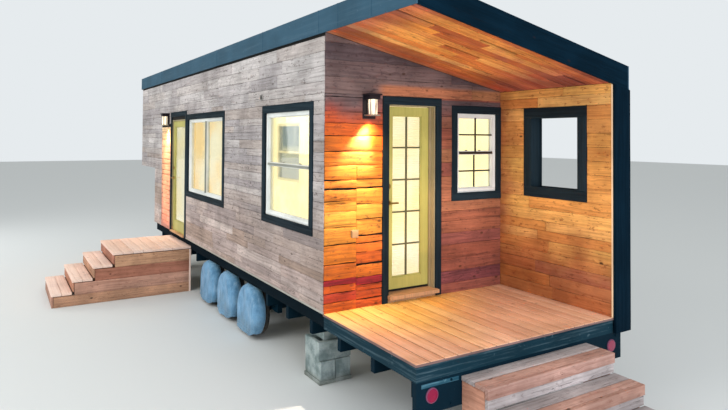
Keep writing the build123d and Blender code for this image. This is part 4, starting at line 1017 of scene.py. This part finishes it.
# Each list holds (box, side) pairs
beads, trims, locks, rails = [], [], [], []
for axis, face, side, s, t, kind in windows:
    def part(near, far, s, t):
        """A box between two depths behind the wall's face, with the side that it looks to."""
        return slab(axis, sorted((face - side * near, face - side * far)), s, t), side

    inner_s, inner_t = ((a + frame_face, b - frame_face) for a, b in (s, t))
    if kind == "hung":
        middle = (t[0] + t[1]) / 2
        panes = [(inner_s, (inner_t[0], middle - half_rail)), (inner_s, (middle + half_rail, inner_t[1]))]
        rails.append(part(.008, .03, (inner_s[0] - .002, inner_s[1] + .002), about(middle, .0125)))
        beads.append(part(.002, .03, (s[0] + .012, s[1] - .012), (t[0] + .012, t[0] + .04)))
        for place in (.3, .7):
            x = inner_s[0] + (inner_s[1] - inner_s[0]) * place
            locks.append(part(.062, .088, about(x, .03), (middle + half_rail, middle + .024)))
            locks.append(part(.066, .082, (x - .012, x + .02), (middle + .022, middle + .034)))
    else:
        middle = (s[0] + s[1]) / 2
        panes = [((inner_s[0], middle - half_rail), inner_t), ((middle + half_rail, inner_s[1]), inner_t)]
        rails.append(part(.008, .03, about(middle, .0125), (inner_t[0] - .002, inner_t[1] + .002)))
        locks.append(part(.066, .09, about(middle, .01), about((t[0] + t[1]) / 2, .03)))
    for pane_s, pane_t in panes:
        for near, far in ((.03, .0475), (.0525, .072)):
            depth = sorted((face - side * near, face - side * far))
            beads += [(box, side) for box in ring_of(axis, depth, pane_s, pane_t, .011)]
    beads += [(box, side) for box in ring_of(axis, sorted((face - side * .009, face - side * .017)), s, t,
                                             .012)]
    wide, tall = (s[0] - trim_wide, s[1] + trim_wide), (t[0] + .0008, t[1] - .0008)
    trims += [part(0, -.02, wide, (t[1], t[1] + .088)), part(0, -.02, wide, (t[0] - .088, t[0])),
              part(0, -.02, (s[0] - trim_wide, s[0] - .0005), tall),
              part(0, -.02, (s[1] + .0005, s[1] + trim_wide), tall)]
for name, parts, material, how in (("window_beads", beads, vinyl, {"soft": .0025}),
                                   ("window_meeting_rails", rails, shaded_vinyl, {"soft": .003})):
    boards(name, [box for box, _ in parts], material, "white_vinyl", side=[side for _, side in parts], **how)
boards("window_locks", [box for box, _ in locks], shaded_vinyl, "white_vinyl", soft=.004)
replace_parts(boards("window_trim_boards", [box for box, _ in trims], slate, "slate_trim",
                   side=[side for _, side in trims], soft=.0025, wave=.0006, steps=8, seed=14), "window_trim")
bar_paint = painted("dark window bars", "332c26", "5c5148", .5)
pane_x, pane_z = ((low + frame_face, high - frame_face) for low, high in porch_pane)
mid_x, mid_z = sum(pane_x) / 2, sum(pane_z) / 2
lites = []
for low, high, outer in ((pane_z[0], mid_z - half_rail, 0), (mid_z + half_rail, pane_z[1], .024)):
    depth = (y_front + .042 - outer, y_front + .058 - outer)
    lites += [slab(1, depth, about(mid_x, .009), (low, high)),
              slab(1, depth, pane_x, about((low + high) / 2, .009))]
# A dark bar over the porch window's white meeting rail: painted shade.
lites.append(slab(1, (y_front + .006, y_front + .03), pane_x, about(mid_z, .014)))
boards("porch_window_bars", lites, bar_paint, "lamp_bronze", out=1, side=-1, soft=.003)


# Blinds
# Cream paper blinds, pleated every 20 mm, that glow by their own emission: painted light standing in
# for the lit room behind them. One is drawn down behind the long window, and one is held between the
# inner beads of each door.
def blind(name, axis, depth, s, t, colour, body, glow):
    """A pleated sheet: its depth is a triangle wave of the height, |2 frac(z / .02) - 1|."""
    z = np.arange(t[0], t[1], .01)
    fold = np.abs(2 * ((z - t[0]) / .02 % 1) - 1) * (depth[1] - depth[0])
    ends = np.array(s)[:, None] + 0 * z
    spots = np.stack([depth[0] + fold + 0 * ends, ends, z + 0 * ends], -1)
    spots = spots if axis == 0 else spots[..., [1, 0, 2]]
    made, skin, place = finish(name + " paper", .9)
    shade = mixed(spread(noise(place, 1.4, 2.), .3, .7), colour, "f4e8cb")
    # The paper glows by its own emission: painted light standing in for the lit room behind it.
    feed(skin, {"Base Color": shade, "Emission Color": shade, "Emission Strength": glow})
    return piece(name, spots, grid_faces(2, len(z)), made, "white_vinyl", body, crease=20.)


frame_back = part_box("left_window_frames")[1].x
blind("long_window_blind", 0, (frame_back + .004, frame_back + .012),
      (long_pane[0] + .02, long_pane[1] - .02), (pane_height[0] + .02, pane_height[1] - .02), "f7d592",
      "root", .66)
for node, axis, body in (("side_door_glass", 0, "side_door"), ("porch_door_glass", 1, "porch_door")):
    s, t = ((low + .0125, high - .0125) for low, high in span_of(node, axis))
    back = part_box(node)[1][axis]
    blind(body + "_blind", axis, (back + .001, back + .006), s, t, "f8e4ae", body, .6)

# Lookout
# An unglazed opening in the porch side wall: four slate-stained lining boards through the wall and
# flat boards round it on both faces.
look_y, look_z = (look_low.y + .08, look_high.y - .08), (look_low.z + .08, look_high.z - .08)
look_boxes = ring_of(0, (look_low.x + .001, look_high.x - .001), look_y, look_z, .02)
for depth in ((look_low.x, x_right_in), (x_right, look_high.x)):
    look_boxes += ring_of(0, depth, (look_low.y, look_high.y), (look_low.z, look_high.z), .114)
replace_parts(boards("lookout_boards", look_boxes, slate, "slate_trim", out=0, side=[1] * 4 + [-1] * 4
                   + [1] * 4, wave=.0005, steps=6, seed=15), "lookout_frame")
# Thin white strips along the bottom and one side of the opening: painted highlight on the lining's edges.
lookout_highlight = ring_of(0, (x_right + .002, look_high.x - .001), (look_y[0] + .02, look_y[1] - .02),
               (look_z[0] + .02, look_z[1] - .02), .006)
boards("lookout_edge_highlights", [lookout_highlight[0], lookout_highlight[2]], vinyl, "slate_trim", out=0, soft=.001, steps=2)

# Doors
# Two glazed wood doors painted yellow-green. The side door has one full pane and opens out; the porch
# door has ten panes behind thin dark bars and opens in. Tan jambs, dark boards round them.
door_paint = wood("yellow-green door paint", ["bfb868", "b8b162"], "98934a", .3, .12, .15, .42, .0005, .14,
                  run="Z")
porch_leaf, side_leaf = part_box("porch_door_leaf"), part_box("side_door_leaf")


def at_sill(place):
    """The share of the darker threshold: everything below the door leaves."""
    return calc("LESS_THAN", xyz(place)["Z"], porch_leaf[0].z - .004)


def glass_beads(door, axis):
    """The beads round both faces of a door's glass."""
    low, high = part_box(door + "_glass")
    boxes = [box for depth in ((low[axis] - .012, low[axis] + .0005), (high[axis] - .0005, high[axis] + .012))
             for box in ring_of(axis, depth, *span_of(door + "_glass", axis), .012)]
    boards(door + "_beads", boxes, door_paint, "door_green", door, soft=.003)


tan_jamb = wood("tan jamb wood", ["b3a583", "a69878"], "7d7052", .4, .3, .3, .6, .001, .2, run="Z",
                tones_by_place=["d3a67e", "c0926c"], where=at_sill)
dress(door_paint, "side_door_leaf", "porch_door_leaf")
dress(tan_jamb, "side_door_frame", "porch_door_frame")
glass_beads("porch_door", 1)
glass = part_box("porch_door_glass")
lites = [slab(1, (glass[0].y - .007, glass[1].y + .0005), about((glass[0].x + glass[1].x) / 2, .012),
              (glass[0].z + .01, glass[1].z - .01))]
lites += [slab(1, (glass[0].y - .006, glass[1].y + .0005), (glass[0].x + .01, glass[1].x - .01),
               about(z, .0085))
          for z in np.linspace(glass[0].z, glass[1].z, 6)[1:-1]]
door_bar_paint = painted("olive door bars", "5d5a3c", "3d3a2a", .5)
boards("porch_door_bars", lites, door_bar_paint, "lamp_bronze", "porch_door", out=1, side=-1, soft=.003)
# A dark rubber sweep along the foot of the leaf, which also stands for the shadow line under the door: partly
# painted shade.
boards("porch_door_sweep", [slab(1, (porch_leaf[0].y - .005, porch_leaf[0].y + .001),
                                 (porch_leaf[0].x + .004, porch_leaf[1].x - .004),
                                 (porch_leaf[0].z + .0005, porch_leaf[0].z + .022))],
       rubber, "dark_plastic", "porch_door", out=1, side=-1)
glass_beads("side_door", 0)
porch_head = porch_door[1].z - .01


def beside(clear, near, far, height):
    """A board at each side of a clear opening, as (span, height) pairs."""
    return [((clear[0] - far, clear[0] - near), height), ((clear[1] + near, clear[1] + far), height)]


trim_edge, trim_thick = .09, .02
door_trims = [slab(0, (x_left - trim_thick, x_left), s, t) for s, t in (
    ((side_clear[0] - trim_edge, side_clear[1] + trim_edge), (trim_top - .088, trim_top)),
    *beside(side_clear, .01, trim_edge, (z_deck, trim_top - .089)))]
door_trims += [slab(1, (y_front - trim_thick, y_front), s, t) for s, t in (
    ((porch_clear[0] - trim_edge, porch_clear[1] + trim_edge), (porch_head, porch_head + .088)),
    *beside(porch_clear, .0205, trim_edge, (z_deck, porch_head)),
    *beside(porch_clear, .01, .0205, (z_deck + .081, porch_head)))]
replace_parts(boards("door_trim_boards", door_trims, slate, "slate_trim", side=-1., soft=.0025, wave=.0005,
                   steps=8, seed=16), "door_trim")
brass = painted("aged brass", "b08a45", "7a5d30", .3, 1., wear=.4, relief=.0001)
dress(brass, "side_door_handle", "porch_door_handle")
side_handle, porch_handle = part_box("side_door_handle")[1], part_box("porch_door_handle")
key_outline = [(0, 0), (.013, 0), (.013, .003), (.011, .005), (0, .005)]
for body, axis, spot in (
        ("side_door", -1, (side_leaf[0].x - .004, side_handle.y - .03, side_handle.z - .03)),
        ("porch_door", -2, (porch_handle[0].x + .03, porch_leaf[0].y - .01, porch_handle[1].z - .03))):
    rods(body + "_keyway", turned([spot], axis, key_outline, 24), brass, "brass", body, loop=True)

# Wall lamps
# Outdoor sconces: a bronze back plate and hood, a ribbed glass drum lit from inside, and a pale
# ledge below it. One is left of the porch door and one beyond the side door.
bronze = painted("dark lamp bronze", "2b252b", "5a4a48", .5, .3, gloss=.3)
nickel = painted("pale brushed metal", "c9c3b6", "98928a", .32, .8)
glow, skin, place = finish("lit ribbed glass", .25)
cloud = mixed(spread(noise(stretch(place, 60., 60., 3.), 1.), .42, .6), "75605a", "fff1cc")
feed(skin, {"Base Color": cloud, "Emission Color": cloud, "Emission Strength": 1.})
lamp_low, lamp_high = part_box("wall_lights")
lamps = (((lamp_high.x - .08, y_front, lamp_high.z - .26), 1), ((x_left, lamp_high.y - .08, lamp_low.z), 0))
metal_boxes, ledge_boxes, drums = [], [], []
for (x, y, z), axis in lamps:
    face, centre = (y, x) if axis == 1 else (x, y)
    for depth, wide, low, high, boxes in (
            (.018, .08, 0, .26, metal_boxes), (.15, .08, .242, .26, metal_boxes),
            (.14, .062, .2, .243, metal_boxes), (.138, .062, .03, .044, ledge_boxes),
            (.03, .03, .044, .2, metal_boxes)):
        boxes.append(slab(axis, (face - depth, face), about(centre, wide), (z + low, z + high)))
    drums.append((x, face - .084, z + .044) if axis == 1 else (face - .084, y, z + .044))
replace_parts(boards("lamp_housings", metal_boxes, bronze, "lamp_bronze", out=2, along=0, soft=.004),
            "wall_lights")
boards("lamp_ledges", ledge_boxes, nickel, "lamp_bronze", soft=.003)
flutes = np.stack([.05 - .002 * (np.arange(27) % 2), np.linspace(0, .156, 27)], 1)
drum_outline = np.concatenate([[(0, 0)], flutes, [(0, .156)]])
rods("lamp_drums", turned(drums, 2, drum_outline, 40), glow, "glass", loop=True, crease=60.)
for (x, y, z), axis in lamps:
    by_porch = axis == 1
    for width, power, drop, shine in ((120, 50 if by_porch else 40, 9., "ffb264" if by_porch else "ffc98c"),
                                      (60, 220 if by_porch else 60, .55, "fff2e2")):
        bulb = (x, y - .1, z + .01) if by_porch else (x - .1, y, z + .01)
        aim = (x - .17, y - .02, z - drop) if by_porch else (x, y, z - drop)
        lamp("lamp_glow", "SPOT", bulb, aim, power, shine, shadow_soft_size=.03, spot_size=radians(width),
             spot_blend=1.)
for name, place, aim, wide, tall, power, shine, fan in (
        ("side door spill", (x_left - .22, 3.45, 1.8), (x_left, 3.45, 1.8), .5, 1.7, 3.5, "ffcf9c", 50),
        ("deck bounce", (.7, -3.9, 1.3), (.8, -3.85, 3.3), 1.4, 1., 12, "ffdcb8", 180)):
    lamp(name, "AREA", place, aim, power, shine, shape="RECTANGLE", size=wide, size_y=tall,
         spread=radians(fan)).visible_camera = False

# Vent, outlet and tail lights
# A round louvred plastic vent high on the window wall, a weatherproof outlet box by the porch corner,
# and two round red lamps on the bumper, each with moulded rings and a rim.
plastic = painted("grey moulded plastic", "8d8984", "b3afa9", .55, 0., .4)
vent_low, vent_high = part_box("wall_vent")
vent_y, vent_z = (vent_low.y + vent_high.y) / 2, (vent_low.z + vent_high.z) / 2
vent_outline = [(.03, 0), (.042, 0), (.042, .017), (.039, .021), (.033, .022), (.03, .018)]
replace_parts(rods("vent_rim", turned([(vent_high.x, vent_y, vent_z)], -1, vent_outline, 40), plastic,
                 "dark_plastic", loop=True), "wall_vent")
louvres = [(vent_z + h, (.031 ** 2 - h ** 2) ** .5) for h in (-.022, -.011, 0, .011, .022)]


def tipped(spots):
    """Tips the louvres down towards the outside."""
    spots[..., 2] += (spots[..., 0] - vent_high.x) * .35
    return spots


boards("vent_louvres", [((vent_low.x + .004, vent_y - w, h - .001), (vent_high.x, vent_y + w, h + .002))
                        for h, w in louvres],
       painted("dark louvres", "2f2b28", "4c4743", .6), "dark_plastic", along=1, out=2, soft=.0006,
       shape=tipped)
(x0, y0, z0), (x1, y1, z1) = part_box("porch_outlet")
outlet_tan = painted("tan outlet plastic", "c79b6b", "a37d55", .5, wear=.3)
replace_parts(boards("outlet_box", [((x0 + .004, y0 + .012, z0 + .004), (x1 - .004, y1, z1 - .004)),
                                  ((x0, y0 + .004, z0), (x1, y0 + .014, z1)),
                                  ((x0 + .008, y0, z0 + .008), (x1 - .008, y0 + .006, z1 - .014)),
                                  ((x0 + .02, y0 + .001, z1 - .012), (x1 - .02, y0 + .01, z1 - .002))],
                   outlet_tan, "dark_plastic", along=0, out=1, side=-1, soft=.004), "porch_outlet")
tail_low, tail_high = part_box("tail_lights")
tails = [(x, tail_high.y, (tail_low.z + tail_high.z) / 2) for x in (tail_low.x + .052, tail_high.x - .052)]
radius = np.linspace(.051, .004, 19)
dome = .0105 + .003 * np.sqrt(1 - (radius / .053) ** 2) - .0008 * (np.arange(19) % 2)
lens_outline = np.concatenate([[(0, 0), (.053, 0), (.053, .006)], np.stack([radius, dome], 1), [(0, .0138)]])
red, skin, place = finish("red moulded lens", .2)
feed(skin, {"Base Color": mixed(noise(place, 25.), "6f0832", "9a1044"), "Coat Weight": .6})
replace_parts(rods("tail_lenses", turned(tails, -2, lens_outline, 48), red, "red_lens", loop=True, crease=60.),
            "tail_lights")
faded_rim = painted("faded lamp rim", "76405c", "8d6a78", .5)
rods("tail_light_rims", turned(tails, -2, [(.052, 0), (.061, 0), (.061, .006), (.0575, .0105),
                                           (.0525, .0105)], 48),
     faded_rim, "dark_plastic", loop=True)


# Side steps
# A boarded box of cedar: a landing of eight boards at the side door, three treads of two boards, boards
# laid flat up the sides, a riser under each tread and a pale strip by the wall.
def under_treads(axis, edges, levels, reach, drop):
    """Cuts boards along the stepped underside of the treads, by their place along the flight."""
    def cut(spots):
        past = [spots[..., axis] > edge + reach for edge in edges]
        roof = np.select(past, [level - drop for level in levels], levels[-1] - drop)
        spots[..., 2] = np.minimum(spots[..., 2], roof)
        return spots
    return cut


def foremost(edges, levels, z):
    """How far forward a board can come whose lower edge needs a tread above height z."""
    return min((edge for edge, level in zip(edges, levels) if level > z), default=edges[0])


steps_low, steps_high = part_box("side_treads")
box_low, box_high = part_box("side_steps")
cedar = wood("weathered step cedar", ["d3a27f", "b67a64", "cc9c86", "aa7f70", "d8a884"], "7a4e3a", .45, .6,
             .95, .68, .0016, .35, dusty=.3, spots=.55, gloss=.2)
pale_cedar = wood("sunlit tread cedar", ["f7dccb", "f2d2bf", "f8e0d2", "efcab4"], "c49a84", .3, .5, .5, .62,
                  .0014, .1, gloss=.25)
side_run, side_rise, nosing, tread_thick = .288, .182, .008, .038
edge_x = [box_low.x + side_run * i for i in (3, 2, 1, 0)]
levels = [steps_high.z - side_rise * i for i in range(4)]
tread_boxes, riser_boxes = [], []
for i, (edge, level, foot) in enumerate(zip(edge_x, levels, levels[1:] + [0])):
    back = steps_high.x if i == 0 else edge_x[i - 1] - nosing
    tread_boxes += [((a + (.0025 if n else 0), steps_low.y, level - tread_thick),
                     (b - .0025, steps_high.y, level))
                    for n, (a, b) in enumerate(pairs(np.linspace(edge - nosing, back, 9 if i == 0 else 3)))]
    riser_boxes.append(((edge, box_low.y, foot + .001), (edge + .022, box_high.y, level - .039)))
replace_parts(boards("side_step_treads", tread_boxes, pale_cedar, "step_cedar", along=1, out=2, soft=.004,
                   wave=.0012, steps=8, seed=51), "side_treads")
boards("side_step_risers", riser_boxes, cedar, "step_cedar", along=1, out=0, side=-1, wave=.0005, steps=6,
       seed=52)
side_boxes, stringer_boxes = [], []
left_and_right = [-1] * 4 + [1] * 4
for y0, y1, in0, in1 in ((box_low.y, box_low.y + .03, .014, .001),
                         (box_high.y - .03, box_high.y, .001, .014)):
    for z0, z1 in pairs([0] + [level - .049 for level in levels[::-1]]):
        reach = foremost(edge_x, levels, z0 + .06)
        side_boxes.append(((reach + .028, y0, z0 + .001), (box_high.x, y1, z1 - .001)))
        stringer_boxes.append(((reach + .022, y0 + in0, z0 + .001), (box_high.x, y1 - in1, z1 + .01)))
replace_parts(boards("side_step_boards", side_boxes, cedar, "step_cedar", along=0, out=1, side=left_and_right,
                   soft=.003, wave=.001, steps=110, seed=53, tones=[.05, .5, .25, 1] * 2,
                   shape=under_treads(0, edge_x, levels, -.0001, .048)), "side_steps")
# Near-black stringers show through the gap under each tread as a dark line: painted shade.
stringer_shade = painted("stringer wood in painted shade", "1d1512", "33261f", .8, gloss=.1)
boards("side_step_stringers", stringer_boxes, stringer_shade, "step_cedar", along=0, out=1,
       side=left_and_right, soft=.001, steps=2)
strips = [((box_high.x - .03, y - .003, 0), (box_high.x, y + .003, levels[0] - .048))
          for y in (box_low.y, box_high.y)]
boards("side_step_corner_strips", strips, pale_cedar, "step_cedar", along=2, out=1, side=-1, soft=.0015,
       steps=4, seed=54)

# Front steps
# Four wide steps of weathered cedar against the bumper. Each is a grey board behind a reddish one on a
# face of two stacked timbers, with wide knotty boards up the ends.
front_low, front_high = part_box("front_treads")
box_low, box_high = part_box("front_steps")
grey_cedar = wood("greyed step board", ["c2b8b7", "b6acaa", "cdc3c1", "bbafab"], "6c605b", .5, .7, .7, .75,
                  .0016, .35, dusty=.2, spots=.5, gloss=.2)
red_cedar = wood("reddish step timber", ["cba395", "bd9284", "d5b0a2", "b98e7c"], "7e5344", .5, .7, .85, .66,
                 .0016, .35, dusty=.2, spots=.5, gloss=.2)
tan_cedar = wood("tan step end boards", ["dd9c80", "d38f74", "e2a78c"], "8a5640", .45, .6, .9, .66, .0016, .3,
                 dusty=.2, spots=.4, gloss=.2)
front_run, front_rise = .295, .18
edge_y = [box_low.y + front_run * i for i in (3, 2, 1, 0)]
levels = [front_high.z - front_rise * i for i in range(4)]
grey_boxes, red_boxes, low_boxes = [], [], []
for i, (edge, level, foot) in enumerate(zip(edge_y, levels, levels[1:] + [0])):
    back = front_high.y if i == 0 else edge_y[i - 1] - .0005
    split = (edge - nosing + back) / 2
    grey_boxes.append(((front_low.x, split + .003, level - tread_thick), (front_high.x, back - .001, level)))
    red_boxes += [((front_low.x, edge - nosing, level - .09), (front_high.x, edge + .032, level)),
                  ((front_low.x, edge + .034, level - tread_thick), (front_high.x, split - .003, level))]
    low_boxes.append(((front_low.x + .008, edge, foot + .001),
                      (front_high.x - .008, edge + .04, level - .092)))
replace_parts(boards("front_step_back_boards", grey_boxes, grey_cedar, "step_cedar", along=0, out=2, soft=.004,
                   wave=.0012, steps=10, seed=61), "front_treads")
boards("front_step_noses", red_boxes, red_cedar, "step_cedar", along=0, out=2, soft=.004, wave=.0012,
       steps=10, seed=62)
boards("front_step_risers", low_boxes, grey_cedar, "step_cedar", along=0, out=1, side=-1, soft=.004,
       wave=.001, steps=10, seed=63)
end_boxes = []
for x0, x1 in ((box_low.x, box_low.x + .035), (box_high.x - .035, box_high.x)):
    for z0, z1 in pairs([0, .195, .39, levels[0] - .04]):
        reach = foremost(edge_y, levels, z0 + .045)
        end_boxes.append(((x0, reach + .042, z0 + .0015), (x1, box_high.y, z1 - .0015)))
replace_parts(boards("front_step_end_boards", end_boxes, tan_cedar, "step_cedar", along=1, out=0,
                   side=[-1] * 3 + [1] * 3, soft=.003, wave=.001, steps=90, seed=64,
                   shape=under_treads(1, edge_y, levels, .0405, .04)), "front_steps")
